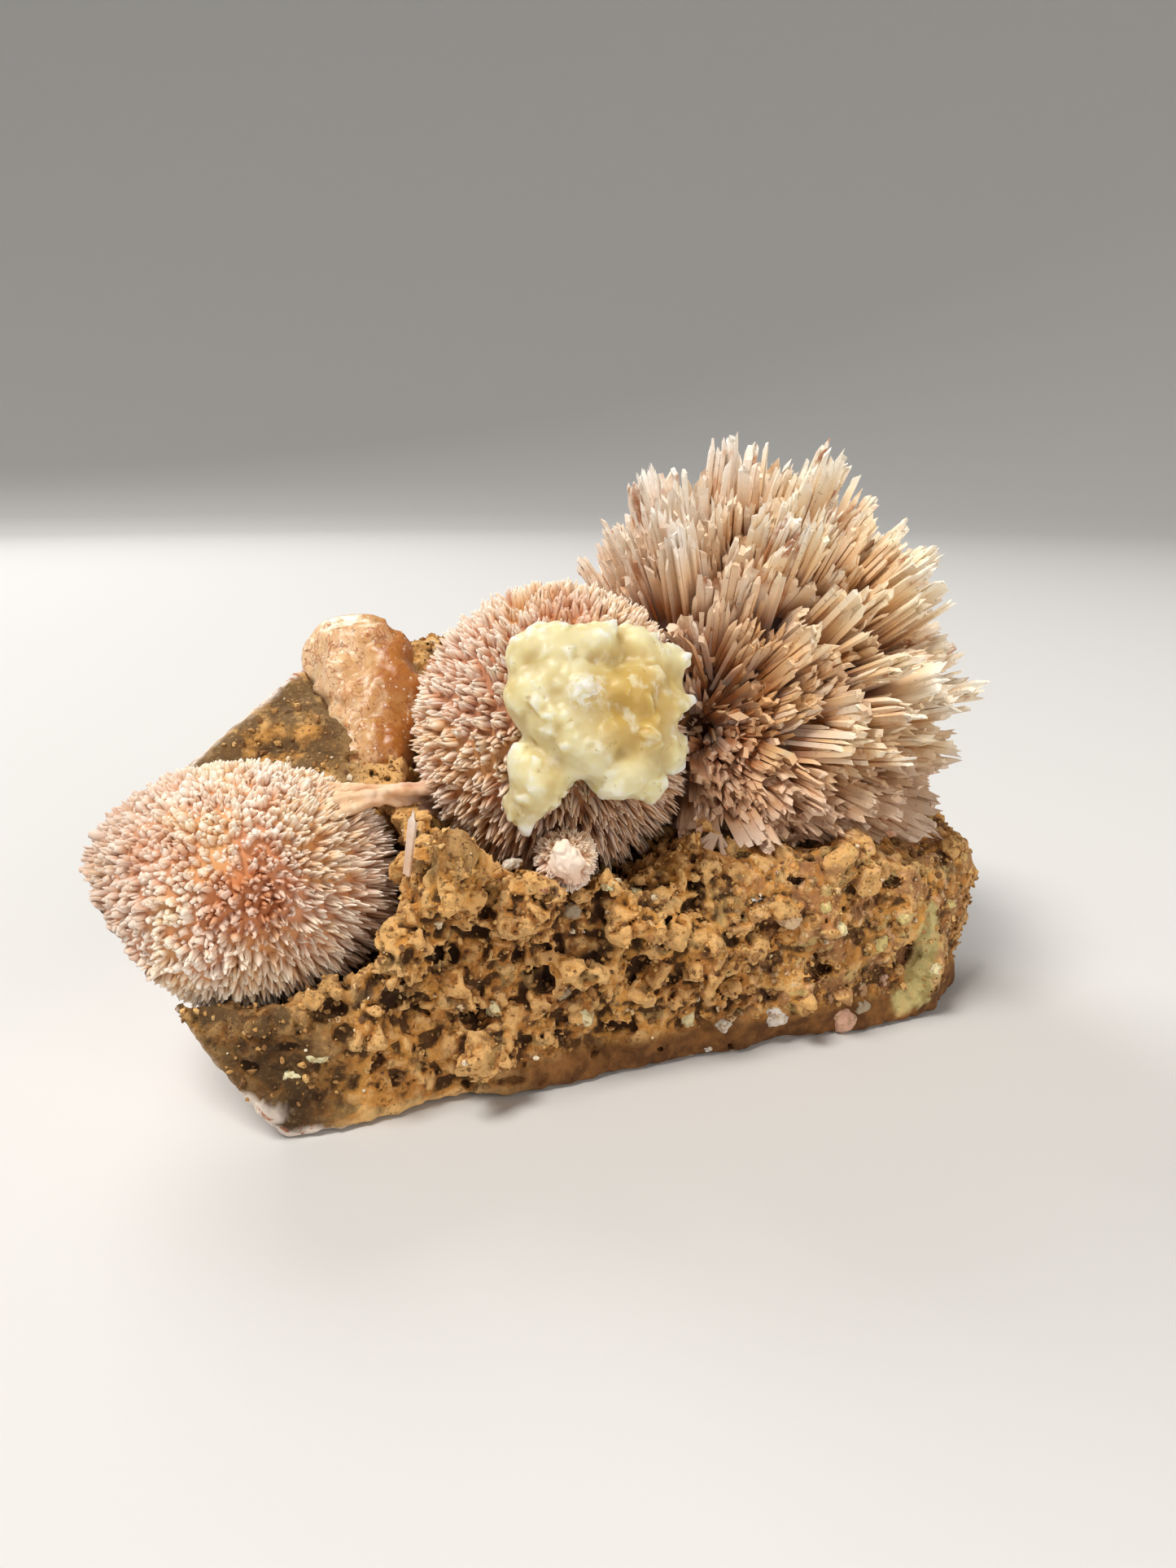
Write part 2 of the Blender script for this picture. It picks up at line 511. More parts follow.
def add_chunk(field, centre, size, draw, softness=0.25, hollow=False):
    """Join an angular lump to a field, or cut it out as a hollow."""
    part, offsets = field.block(centre, size * 1.5)
    if part is None:
        return
    sides = unit(draw.normal(size=(CHUNK_FACETS, 3))).astype(np.float32)
    reach = size * draw.uniform(0.4, 0.85, CHUNK_FACETS).astype(np.float32)
    distance = np.maximum((offsets @ sides.T - reach).max(-1), np.linalg.norm(offsets, axis=-1) - size * 1.15)
    if hollow:
        field.cut(part, distance)
    else:
        field.join(part, distance, softness)


def hold_back(field, plain, centre, radii):
    """Keep the rock from growing past its plain shape round a neighbour."""
    part, offsets = field.block(centre, np.max(radii) + 1)
    near = np.linalg.norm(offsets / np.asarray(radii, np.float32), axis=-1) < 1
    field.values[part] = np.where(near, np.maximum(field.values[part], plain[part]), field.values[part])


def add_pit(field, centre, radii, turn):
    """Take an ellipsoid pit out of a field; turn holds the pit's axes as rows."""
    part, offsets = field.block(centre, max(radii) * 1.3)
    local = offsets @ turn.astype(np.float32).T
    field.cut(part, (np.linalg.norm(local / np.array(radii, np.float32), axis=-1) - 1) * min(radii))


def copies(faces, count, corners):
    """The faces of many copies of a solid with the given number of points."""
    faces = np.array(faces)
    return (faces + (np.arange(count) * corners)[:, None, None]).reshape(-1, faces.shape[1])


def padded(values, count, value):
    """Values, with one value repeated after them."""
    return np.concatenate([values, np.full(count, value)])


def inside_cuts(points):
    """Points held above the ground and behind the other saw cuts."""
    points[:, 2] = np.maximum(points[:, 2], 0.0)
    for cut in SAWN[1:]:
        points = pressed(points, cut)
    return points


def simplified(points, faces, triangles):
    """Reduce a surface to about a number of triangles; gives back points and three-cornered faces."""
    whole = new_object("whole", points, [faces])
    fewer = whole.modifiers.new("fewer", "DECIMATE")
    fewer.ratio = min(1.0, triangles / (2.0 * len(faces)))
    reduced = whole.evaluated_get(bpy.context.evaluated_depsgraph_get()).to_mesh()
    reduced.calc_loop_triangles()
    kept = np.empty(len(reduced.vertices) * 3, np.float32)
    reduced.vertices.foreach_get("co", kept)
    corners = np.empty(len(reduced.loop_triangles) * 3, np.int32)
    reduced.loop_triangles.foreach_get("vertices", corners)
    mesh = whole.data
    bpy.data.objects.remove(whole)
    bpy.data.meshes.remove(mesh)
    return kept.reshape(-1, 3).astype(float), corners.reshape(-1, 3)


def outward_bulge(points, faces, rounds):
    """How far each point stands out of the surface round it, in millimetres; hollows are negative."""
    edges = np.concatenate([faces[:, [0, 1]], faces[:, [1, 2]], faces[:, [2, 0]]])
    edges = np.concatenate([edges, edges[:, ::-1]])
    share = np.bincount(edges[:, 0], minlength=len(points))[:, None]
    smooth = points
    for _ in range(rounds):
        total = [np.bincount(edges[:, 0], smooth[edges[:, 1], k], len(points)) for k in range(3)]
        smooth = np.stack(total, 1) / share
    normal = face_normals(points[faces])
    outward = np.zeros_like(points)
    for corner in range(3):
        for k in range(3):
            outward[:, k] += np.bincount(faces[:, corner], normal[:, k], len(points))
    outward /= np.maximum(np.linalg.norm(outward, axis=1, keepdims=True), 1e-9)
    return np.sum((points - smooth) * outward, 1)


def ways_round(count, draw, stray):
    """Evenly spread directions, a little disturbed."""
    number = np.arange(count) + 0.5
    height = 1 - 2 * number / count
    turn = number * math.pi * (3 - math.sqrt(5))
    flat = np.sqrt(1 - height**2)
    ways = np.stack([np.cos(turn) * flat, np.sin(turn) * flat, height], 1)
    return unit(ways + draw.normal(size=ways.shape) * stray / math.sqrt(count))


def soft_noise(points, size, draw, layers=1):
    """Smooth noise between about -1 and 1 at any points, from a few random waves per layer."""
    total = np.zeros(len(points))
    for layer in range(layers):
        waves = unit(draw.normal(size=(10, 3))) * 2 * math.pi / (size / 2**layer)
        waves = waves * draw.uniform(0.6, 1.4, (10, 1))
        shift = draw.uniform(0, 2 * math.pi, 10)
        total += np.sin(points @ waves.T + shift).sum(1) / 4.0 / 2**layer
    return total


def frames_along(ways, draw):
    """Two unit vectors across each direction, turned at random."""
    helper = np.where(np.abs(ways[:, 2:]) < 0.8, UP, np.array([1.0, 0.0, 0.0]))
    side = unit(np.cross(ways, helper))
    other = np.cross(ways, side)
    turn = draw.uniform(0, 2 * math.pi, (len(ways), 1))
    return side * np.cos(turn) + other * np.sin(turn), other * np.cos(turn) - side * np.sin(turn)


def sleeve(rings, sides):
    """Four-cornered faces between the rings of a rod."""
    faces = []
    for first in range(0, (rings - 1) * sides, sides):
        for n in range(sides):
            after = (n + 1) % sides
            faces.append((first + n, first + after, first + sides + after, first + sides + n))
    return faces


def tubes(starts, ends, side, other, spans, wobble, draw):
    """Many closed needles: spans holds each one's half width along both of its axes at every ring.

    Gives points, four-cornered faces, the tips' triangles, and each point's height and needle number.
    """
    count, rings, sides = len(starts), len(NEEDLE_RINGS), NEEDLE_SIDES
    angle = 2 * math.pi * (np.arange(sides) + 0.5) / sides
    middle = starts[:, None] + (ends - starts)[:, None] * NEEDLE_RINGS[None, :, None]
    drift = draw.normal(size=(count, rings, 3)) * wobble[:, None, None]
    drift[:, 0] = 0
    middle = middle + drift
    ring = side[:, None, None] * (spans[:, :, 0, None, None] * np.cos(angle)[None, None, :, None])
    ring = ring + other[:, None, None] * (spans[:, :, 1, None, None] * np.sin(angle)[None, None, :, None])
    body = (middle[:, :, None] + ring).reshape(count, rings * sides, 3)
    points = np.concatenate([body, ends[:, None] + drift[:, -1:]], 1)
    each = rings * sides + 1
    quads = copies(sleeve(rings, sides), count, each)
    last = each - 1 - sides
    tips = copies([(last + n, last + (n + 1) % sides, each - 1) for n in range(sides)], count, each)
    height = np.tile(np.append(np.repeat(NEEDLE_RINGS, sides), 1.0), count)
    return points.reshape(-1, 3), quads, tips, height, np.repeat(np.arange(count), each)


def round_core(centre, reach, cuts=24):
    """A closed star-shaped surface round a centre, from a cube's grid of directions."""
    ticks = np.tan(np.linspace(-1, 1, cuts + 1) * math.pi / 4)
    grid = np.stack(np.meshgrid(np.arange(cuts + 1), np.arange(cuts + 1), indexing="ij"), -1).reshape(-1, 2)
    ways, faces = [], []
    for axis in range(3):
        for sign in (-1, 1):
            way = np.empty((len(grid), 3))
            way[:, axis] = sign
            way[:, (axis + 1) % 3] = ticks[grid[:, 0]]
            way[:, (axis + 2) % 3] = ticks[grid[:, 1]]
            first = np.arange(len(grid)).reshape(cuts + 1, cuts + 1) + len(ways) * len(grid)
            quad = np.stack([first[:-1, :-1], first[1:, :-1], first[1:, 1:], first[:-1, 1:]], -1)
            quad = quad.reshape(-1, 4)
            faces.append(quad if sign > 0 else quad[:, ::-1])
            ways.append(way)
    ways = unit(np.concatenate(ways))
    _, first, same = np.unique(np.round(ways, 6), axis=0, return_index=True, return_inverse=True)
    ways = ways[first]
    return centre + ways * reach(ways)[:, None], same.ravel()[np.concatenate(faces)]


def reach_to(trees, centre, ways, limits):
    """How far each ray from a centre runs before it meets one of the trees, up to its limit."""
    found = np.array(limits, float)
    start = Vector(centre)
    for n, way in enumerate(ways):
        for tree in trees:
            distance = tree.ray_cast(start, Vector(way), found[n])[3]
            if distance is not None:
                found[n] = min(found[n], distance)
    return found


def dipped(reach, ways, dips):
    """Distances shortened round some directions; each dip is a direction, a width in degrees and a share."""
    for direction, width, depth in dips:
        turn = np.degrees(np.arccos(np.clip(ways @ unit(np.array(direction)), -1, 1)))
        reach = reach * (1.0 - depth * np.exp(-((turn / width) ** 2)))
    return reach


def ball_reach(ball):
    """Distance from a ball's centre to the tips of its needles, for many directions."""
    return lambda ways: dipped(1.0 / np.linalg.norm(ways / ball["radii"], axis=1), ways, ball["dips"])


def ball_core(ball):
    """Distance from a ball's centre to its solid core's surface, for many directions."""
    reach, shaggy = ball_reach(ball), unit(ball["shag"])
    return lambda ways: reach(ways) * (ball["core"] - 0.06 * fade(ways @ shaggy, 0.0, 0.75))


def spray_reach(ways):
    """Length of the spray's blades for many directions."""
    offset = SPRAY_ENVELOPE_CENTRE - SPRAY_CENTRE
    along = ways @ offset
    reach = along + np.sqrt(along**2 - offset @ offset + SPRAY_ENVELOPE_RADIUS**2)
    return np.maximum(dipped(reach, ways, SPRAY_DIPS), SPRAY_LEAST)


def spray_core(ways):
    """Distance from the spray's centre to its solid core's surface, for many directions."""
    return dipped(spray_reach(ways) * SPRAY_CORE, ways, SPRAY_CORE_DIPS)


class Look:
    """A material's node tree, with short ways to add the nodes that the minerals use."""

    def __init__(self, name, **values):
        self.material = bpy.data.materials.new(name)
        self.material.use_nodes = True
        self.tree = self.material.node_tree
        self.shader = self.tree.nodes["Principled BSDF"]
        self.place = self.tree.nodes.new("ShaderNodeTexCoord").outputs["Object"]
        self.colour = None
        for key, value in values.items():
            self.shader.inputs[key.replace("_", " ")].default_value = value

    def link(self, source, target):
        """Feed a socket from another socket, a number, a vector or a colour."""
        if isinstance(source, bpy.types.NodeSocket):
            self.tree.links.new(source, target)
        elif isinstance(source, (int, float)) or target.type == "VECTOR":
            target.default_value = source
        else:
            target.default_value = (*source, 1.0)

    def node(self, kind, inputs, **settings):
        """A new node with its settings and inputs."""
        node = self.tree.nodes.new("ShaderNode" + kind)
        for key, value in settings.items():
            setattr(node, key, value)
        for key, value in inputs.items():
            self.link(value, node.inputs[key])
        return node

    def mark(self, name):
        """The value of a mark that the mesh carries."""
        return self.node("Attribute", {}, attribute_name=name).outputs["Fac"]

    def noise(self, size, detail=3.0, rough=0.55, warp=0.0, place=None):
        """Noise whose lumps are about the given size in millimetres."""
        inputs = {"Vector": place or self.place, "Scale": 1.0 / (size * MM)}
        inputs.update({"Detail": detail, "Roughness": rough, "Distortion": warp})
        return self.node("TexNoise", inputs).outputs["Fac"]

    def cells(self, size):
        """Distance to the nearest of many scattered points, of the given spacing in millimetres."""
        return self.node("TexVoronoi", {"Vector": self.place, "Scale": 1.0 / (size * MM)}).outputs["Distance"]

    def sum(self, kind, first, second):
        """One step of arithmetic."""
        return self.node("Math", {0: first, 1: second}, operation=kind).outputs[0]

    def times(self, first, second):
        """One value times another."""
        return self.sum("MULTIPLY", first, second)

    def span(self, source, low, high, least=0.0, most=1.0):
        """Carry a range of values onto another, held at both ends."""
        inputs = {"Value": source, "From Min": low, "From Max": high, "To Min": least, "To Max": most}
        return self.node("MapRange", inputs, interpolation_type="SMOOTHSTEP").outputs[0]

    def patches(self, size, low, high, detail=3.0, rough=0.55, warp=0.0, least=0.0, most=1.0):
        """Patches where the noise of a size rises from low to high."""
        return self.span(self.noise(size, detail, rough, warp), low, high, least, most)

    def along(self, axis, low, high, least=0.0, most=1.0):
        """A value that changes along one axis, between two places in millimetres."""
        place = self.node("SeparateXYZ", {0: self.place}).outputs[axis]
        return self.span(place, low * MM, high * MM, least, most)

    def near(self, centre, full, none):
        """1 within full millimetres of a place, falling to 0 at none."""
        inputs = {0: self.place, 1: [value * MM for value in centre]}
        node = self.node("VectorMath", inputs, operation="DISTANCE")
        return self.span(node.outputs["Value"], full * MM, none * MM, 1.0, 0.0)

    def mix(self, share, first, second, kind="MIX"):
        """Mix two colours."""
        node = self.node("Mix", {0: share}, data_type="RGBA", blend_type=kind)
        sockets = {socket.identifier: socket for socket in (*node.inputs, *node.outputs)}
        self.link(first, sockets["A_Color"])
        self.link(second, sockets["B_Color"])
        return sockets["Result_Color"]

    def paint(self, share, shade, kind="MIX"):
        """Lay a shade over the colour so far."""
        self.colour = self.mix(share, self.colour, shade, kind)

    def ramp(self, source, *stops):
        """Colours along a value, each stop a position and a colour."""
        node = self.node("ValToRGB", {"Fac": source})
        line = node.color_ramp
        while len(line.elements) < len(stops):
            line.elements.new(0.5)
        for element, (position, colour) in zip(line.elements, stops):
            element.position = position
            element.color = (*colour, 1.0)
        return node.outputs["Color"]

    def bump(self, height, strength, distance):
        """Fine relief."""
        node = self.node("Bump", {"Strength": strength, "Distance": distance * MM, "Height": height})
        self.link(node.outputs["Normal"], self.shader.inputs["Normal"])

    def finish(self):
        """Set the surface's colour, and give back the material."""
        self.link(self.colour, self.shader.inputs["Base Color"])
        return self.material


def paint_cuts_and_vein(look):
    """The sawn faces with their veins, the pale lining of the left cut, and the waxy calcite vein."""
    sawn = look.ramp(look.noise(6.0, 6.0, 0.65), (0.38, (0.33, 0.20, 0.12)), (0.60, (0.60, 0.46, 0.33)))
    sawn = look.mix(look.span(look.cells(2.4), 0.30, 0.18), sawn, (0.66, 0.58, 0.48))
    sawn = look.mix(look.patches(11.0, 0.45, 0.53, 4.0, 0.6, 1.0), sawn, (0.84, 0.74, 0.67))
    sawn = look.mix(look.patches(7.0, 0.60, 0.66, 4.0, 0.6, 2.0), sawn, (0.52, 0.19, 0.12))
    look.paint(look.mark("sawn"), sawn)
    lining = look.mix(look.patches(3.0, 0.56, 0.62, 5.0, 0.6, 1.0), (0.82, 0.71, 0.62), (0.52, 0.22, 0.13))
    look.paint(look.mark("lining"), lining)
    waxy = look.ramp(look.noise(3.5), (0.40, (0.42, 0.32, 0.11)), (0.52, (0.62, 0.52, 0.22)),
                     (0.64, (0.70, 0.50, 0.20)))
    look.paint(look.mark("vein"), waxy)


def rock_look(knob_place):
    """Ochre and brown crumbly rock: dark in its pits, yellow on its lumps, pale where it was sawn."""
    look = Look("rock", Specular_IOR_Level=0.3)
    look.colour = look.ramp(look.noise(13.0), (0.36, (0.30, 0.13, 0.040)), (0.5, (0.50, 0.24, 0.068)),
                            (0.62, (0.68, 0.37, 0.105)))
    look.paint(look.patches(7.0, 0.54, 0.64, warp=0.6), (0.36, 0.25, 0.12))
    look.paint(look.patches(5.0, 0.56, 0.66, 4.0, 0.6), (0.22, 0.15, 0.085))
    look.paint(look.patches(2.4, 0.52, 0.64, 5.0, 0.7), (0.72, 0.43, 0.16))
    look.paint(look.patches(3.1, 0.57, 0.67, 4.0, 0.6), (0.21, 0.10, 0.045))
    face = look.ramp(look.noise(5.0, 4.0, 0.6), (0.38, (0.12, 0.062, 0.020)), (0.48, (0.42, 0.23, 0.070)),
                     (0.62, (0.64, 0.37, 0.13)))
    look.paint(look.times(look.mark("face"), 0.85), face)
    look.paint(look.times(look.span(look.mark("edge"), 0.08, 0.5), 0.65), (0.84, 0.60, 0.33))
    look.paint(look.times(look.span(look.mark("edge"), 0.0, -0.30), 0.9), (0.045, 0.019, 0.008))
    right, left = look.along("X", 14.0, 40.0), look.along("X", -34.0, -46.0)
    for size, at, shade in RIGHT_SPOTS:
        spots = look.times(look.patches(size, at, at + 0.05, 4.0, 0.6), right)
        look.paint(look.times(spots, 0.75), shade)
    murky = look.times(look.patches(8.0, 0.40, 0.55, 5.0, 0.65), left)
    look.paint(look.times(murky, 0.9), (0.12, 0.078, 0.042))
    look.paint(look.times(left, look.along("Z", 24.0, 8.0, 0.0, 0.5)), (0.15, 0.092, 0.042))
    fine = look.noise(0.75, 5.0, 0.8)
    look.paint(look.span(fine, 0.50, 0.30, 0.0, 0.55), (0.10, 0.050, 0.022))
    look.paint(look.span(fine, 0.54, 0.70, 0.0, 0.5), (0.84, 0.60, 0.30))
    look.paint(look.span(look.mark("depth"), -0.8, -3.4), (0.035, 0.015, 0.007))
    look.paint(look.times(look.span(look.mark("depth"), 0.0, 1.4), 0.2), (0.74, 0.45, 0.18))
    porous = look.patches(9.0, 0.45, 0.60, 2.0, least=0.1, most=0.9)
    pores = look.times(look.patches(0.8, 0.57, 0.64, 3.0, 0.6), porous)
    look.paint(look.times(pores, 0.7), (0.10, 0.048, 0.020))
    flecks = look.times(look.span(look.cells(2.3), 0.2, 0.12), look.along("X", 0.0, 45.0, 0.15, 0.5))
    look.paint(flecks, (0.80, 0.62, 0.44))
    foot = look.times(look.along("Z", 8.5, 4.5), look.along("X", -22.0, -6.0))
    dark_foot = look.ramp(look.noise(3.0, 4.0), (0.4, (0.11, 0.048, 0.017)), (0.65, (0.25, 0.12, 0.042)))
    look.paint(foot, dark_foot)
    look.paint(1.0, ROCK_WARMTH, "MULTIPLY")
    dim = look.times(left, look.along("Z", 30.0, 14.0, 0.0, 0.75))
    dim = look.sum("MAXIMUM", dim, look.times(look.near(knob_place, 3.0, 8.0), 0.55))
    look.paint(dim, (0.24, 0.20, 0.16), "MULTIPLY")
    paint_cuts_and_vein(look)
    look.link(look.span(look.mark("vein"), 0.2, 0.8, 0.85, 0.35), look.shader.inputs["Roughness"])
    look.bump(look.sum("SUBTRACT", look.noise(0.45, 5.0, 0.75), look.times(pores, 0.6)), 0.9, 0.3)
    return look.finish()


def grain_look():
    """Crumbs of ochre, tan and white, with a few dark ones."""
    look = Look("grains", Roughness=0.8, Specular_IOR_Level=0.35)
    look.colour = look.ramp(look.mark("tone"), (0.0, (0.12, 0.055, 0.024)), (0.25, (0.38, 0.19, 0.062)),
                            (0.7, (0.68, 0.39, 0.13)), (0.93, (0.78, 0.50, 0.20)), (1.0, (0.86, 0.76, 0.58)))
    look.paint(look.patches(0.6, 0.45, 0.65), (0.26, 0.13, 0.045))
    look.bump(look.noise(0.35, 3.0, 0.7), 0.6, 0.15)
    return look.finish()


def needle_look():
    """Pink and cream needles: red-brown between them, peach patches, and nearly white tips."""
    look = Look("needles", Roughness=0.55, Specular_IOR_Level=0.3)
    pink, cream, brown = (look.ramp(look.mark("tip"), *stops) for stops in NEEDLE_RAMPS)
    look.colour = look.mix(look.patches(15.0, 0.42, 0.58, 2.0), pink, cream)
    look.paint(look.mark("shade"), brown)
    look.paint(look.times(look.mark("peach"), 0.85), (0.64, 0.25, 0.09))
    look.paint(look.span(look.mark("tone"), 0.5, 1.0, 0.0, 0.45), (0.96, 0.90, 0.83))
    look.paint(look.span(look.mark("tone"), 0.3, 0.0, 0.0, 0.35), (0.66, 0.38, 0.25))
    look.paint(look.along("X", -60.0, -80.0, 0.0, 0.5), (0.52, 0.33, 0.24))
    sawn = look.ramp(look.noise(1.6, 4.0), (0.35, (0.66, 0.38, 0.28)), (0.65, (0.86, 0.74, 0.64)))
    look.paint(look.mark("sawn"), sawn)
    return look.finish()


def blade_look():
    """Cream and peach blades, orange-brown where they are deep, with rust streaks and fine dark specks."""
    look = Look("blades", Roughness=0.5, Specular_IOR_Level=0.35)
    warm, pale = (look.ramp(look.mark("tip"), *stops) for stops in BLADE_RAMPS)
    patch = look.patches(12.0, 0.35, 0.7, 2.0, least=-0.2, most=0.4)
    look.colour = look.mix(look.sum("ADD", look.along("X", 8.0, 46.0, 0.8, 0.0), patch), warm, pale)
    look.paint(look.span(look.mark("tone"), 0.45, 1.0, 0.0, 0.5), (0.96, 0.91, 0.83))
    look.paint(look.span(look.mark("tone"), 0.35, 0.0, 0.0, 0.4), (0.72, 0.40, 0.17))
    look.paint(look.times(look.along("Z", 58.0, 42.0), 0.55), (0.56, 0.31, 0.19))
    look.paint(look.times(look.mark("rust"), look.patches(5.0, 0.42, 0.60, most=0.85)), (0.42, 0.14, 0.04))
    look.paint(look.times(look.patches(8.0, 0.56, 0.70), 0.55), (0.62, 0.29, 0.10))
    look.paint(look.times(look.patches(0.8, 0.66, 0.71, 2.0), 0.5), (0.22, 0.11, 0.07))
    look.bump(look.noise(0.5, 5.0, 0.75), 0.6, 0.15)
    return look.finish()


def yellow_look(druse_place, golden_place):
    """Waxy pale yellow crystal, frosty at its edges and golden in its hollows, with a white drusy patch."""
    look = Look("yellow_crystal", Roughness=0.35, Subsurface_Weight=0.9, Subsurface_Scale=1.0, IOR=1.45,
                Subsurface_Radius=(0.0044, 0.0038, 0.0016), Transmission_Weight=0.12, Specular_IOR_Level=0.45)
    look.colour = look.ramp(look.span(look.mark("depth"), 1.4, -1.2), (0.0, (0.88, 0.88, 0.80)),
                            (0.5, (0.82, 0.75, 0.46)), (1.0, (0.60, 0.42, 0.11)))
    look.paint(look.times(look.near(golden_place, 3.0, 13.0), 0.85), (0.62, 0.39, 0.065))
    look.paint(look.patches(4.0, 0.54, 0.68, 4.0, most=0.7), (0.86, 0.83, 0.66))
    look.paint(look.times(look.span(look.mark("edge"), -0.02, -0.25), 0.3), (0.60, 0.42, 0.11))
    look.paint(look.times(look.span(look.mark("edge"), 0.05, 0.30), 0.2), (0.92, 0.89, 0.73))
    druse = look.times(look.near(druse_place, 1.0, 4.0), look.patches(1.1, 0.44, 0.54))
    look.paint(druse, (0.95, 0.93, 0.87))
    look.paint(look.times(look.patches(1.8, 0.66, 0.71), 0.45), (0.46, 0.33, 0.10))
    look.bump(look.sum("ADD", look.noise(0.9, 5.0, 0.7), look.times(druse, look.noise(0.4))), 0.4, 0.2)
    return look.finish()


def peach_look():
    """Pearly peach crystal, orange at the right, with red-brown lines, small pits and white sparkles."""
    look = Look("peach_crystal", Roughness=0.3, Subsurface_Weight=0.4, Subsurface_Scale=1.0, IOR=1.5,
                Subsurface_Radius=(0.0028, 0.0013, 0.0006))
    patch = look.patches(6.0, 0.32, 0.68, 2.0, least=-0.3, most=0.3)
    look.colour = look.ramp(look.sum("ADD", look.along("X", -46.5, -35.5), patch), *PEACH_RAMP)
    drawn_out = look.node("VectorMath", {0: look.place, 1: (1.0, 0.7, 0.22)}, operation="MULTIPLY")
    streaks = look.noise(2.6, 5.0, 0.65, 0.8, drawn_out.outputs["Vector"])
    look.paint(look.span(streaks, 0.52, 0.66, 0.0, 0.5), (0.84, 0.64, 0.43))
    look.paint(look.span(streaks, 0.44, 0.34, 0.0, 0.6), (0.62, 0.30, 0.11))
    look.paint(look.times(look.span(look.mark("depth"), -0.6, -1.8), 0.6), (0.50, 0.20, 0.06))
    for size, middle in ((6.0, 0.52), (3.5, 0.48)):
        wander = look.noise(size, 3.0, 0.5, 1.5)
        lines = look.times(look.span(wander, middle - 0.02, middle), look.span(wander, middle + 0.02, middle))
        look.paint(look.times(lines, 0.75), (0.34, 0.09, 0.025))
    look.paint(look.times(look.patches(1.1, 0.70, 0.74, 1.0), 0.7), (0.22, 0.09, 0.03))
    look.paint(look.times(look.span(look.cells(1.6), 0.15, 0.09), 0.7), (0.95, 0.90, 0.84))
    look.bump(look.noise(0.8, 5.0, 0.7), 0.35, 0.2)
    return look.finish()


def inclusion_look():
    """Waxy crystals and tufts set in the rock, coloured by kind."""
    look = Look("inclusions", Roughness=0.4, Subsurface_Weight=0.4, Subsurface_Scale=1.0, IOR=1.5,
                Subsurface_Radius=(0.003, 0.0018, 0.0008))
    colours = list(INCLUSION_COLOURS.values())
    kinds = [((n + 0.5) / len(colours), colour) for n, colour in enumerate(colours)]
    look.colour = look.ramp(look.mark("kind"), *kinds)
    look.paint(look.patches(1.2, 0.48, 0.62, 5.0, 0.7, most=0.8), (0.36, 0.21, 0.09))
    look.bump(look.noise(0.6, 4.0, 0.7), 0.5, 0.25)
    return look.finish()


def rock_calm(x):
    """1 in the crumbly middle of the rock, less towards its ends, where it is more compact."""
    return 1 - 0.45 * fade(x, 20.0, 38.0) - 0.45 * fade(-x, 27.0, 42.0)


def smooth_foot(x, z):
    """1 on the compact band along the rock's foot, which ends towards the left."""
    return (1 - fade(z, *SMOOTH_BAND)) * fade(x, -22.0, -6.0)


def rock_roughness(field, vein):
    """How rough the rock is over its grid: less at the foot, the upper left face, the vein and the cuts."""
    x, y, z = np.meshgrid(*field.axes, indexing="ij", sparse=True)
    face = 1 - 0.65 * fade(y, -30.0, -18.0) * fade(-x, 8.0, 30.0)
    rough = (1 - 0.8 * smooth_foot(x, z)) * face * rock_calm(x) * (0.3 + 0.7 * fade(z, 1.0, 6.0))
    for cut in SAWN[1:]:
        rough = rough * fade(-field.past_cut(cut), 0.0, 4.0)
    for place, size in vein:
        part, offsets = field.block(place, size * 2)
        rough[part] = np.minimum(rough[part], 0.15 + fade(np.linalg.norm(offsets, axis=-1), size, size * 1.8))
    return rough.astype(np.float32)


def rock_is_smooth(place, vein):
    """Whether a place lies on the compact foot, the upper left face or the vein, where no lumps stand out."""
    on_vein = any(np.linalg.norm(place - spot) < size * 1.3 for spot, size in vein)
    at_foot = place[2] < 3.5 or smooth_foot(place[0], place[2]) > 0.3
    return on_vein or at_foot or (place[0] < -22 and place[1] > -26)


def vein_path(tree):
    """Places along the calcite vein on the plain rock, each with a radius."""
    path = []
    for (u, v, radius), (next_u, next_v, next_radius) in zip(VEIN, VEIN[1:]):
        for share in np.linspace(0, 1, 4):
            place = on_surface(tree, u + (next_u - u) * share, v + (next_v - v) * share)[0]
            path.append((place, radius + (next_radius - radius) * share))
    return path


def add_vesicles(field, vein, draw):
    """Angular hollows all over the rock, small on its compact parts."""
    for place, normal in zip(*surface_samples("rock_matrix", ROCK_VESICLES, draw)):
        size = (0.8 + 1.9 * draw.random() ** 2.5) * (0.2 + 0.8 * rock_calm(place[0]))
        if rock_is_smooth(place, vein):
            size = 0.5 + 0.4 * draw.random()
        place = place - normal * draw.uniform(0.0, 2.4)
        for _ in range(2):
            add_chunk(field, place + draw.normal(size=3) * size * 0.5, size, draw, hollow=True)


def add_lumps(field, vein, draw):
    """Angular lumps all over the rock, sunk deeper towards its ends, with none on its compact parts."""
    for place, normal in zip(*surface_samples("rock_matrix", ROCK_CHUNKS, draw)):
        calm = rock_calm(place[0])
        size = (0.7 + 3.0 * draw.random() ** 4.0) * (0.3 + 0.7 * calm)
        if not rock_is_smooth(place, vein):
            sunk = draw.uniform(0.2, 2.8) + 1.2 * (1 - calm)
            add_chunk(field, place - normal * (size * 0.5 + sunk), size, draw)


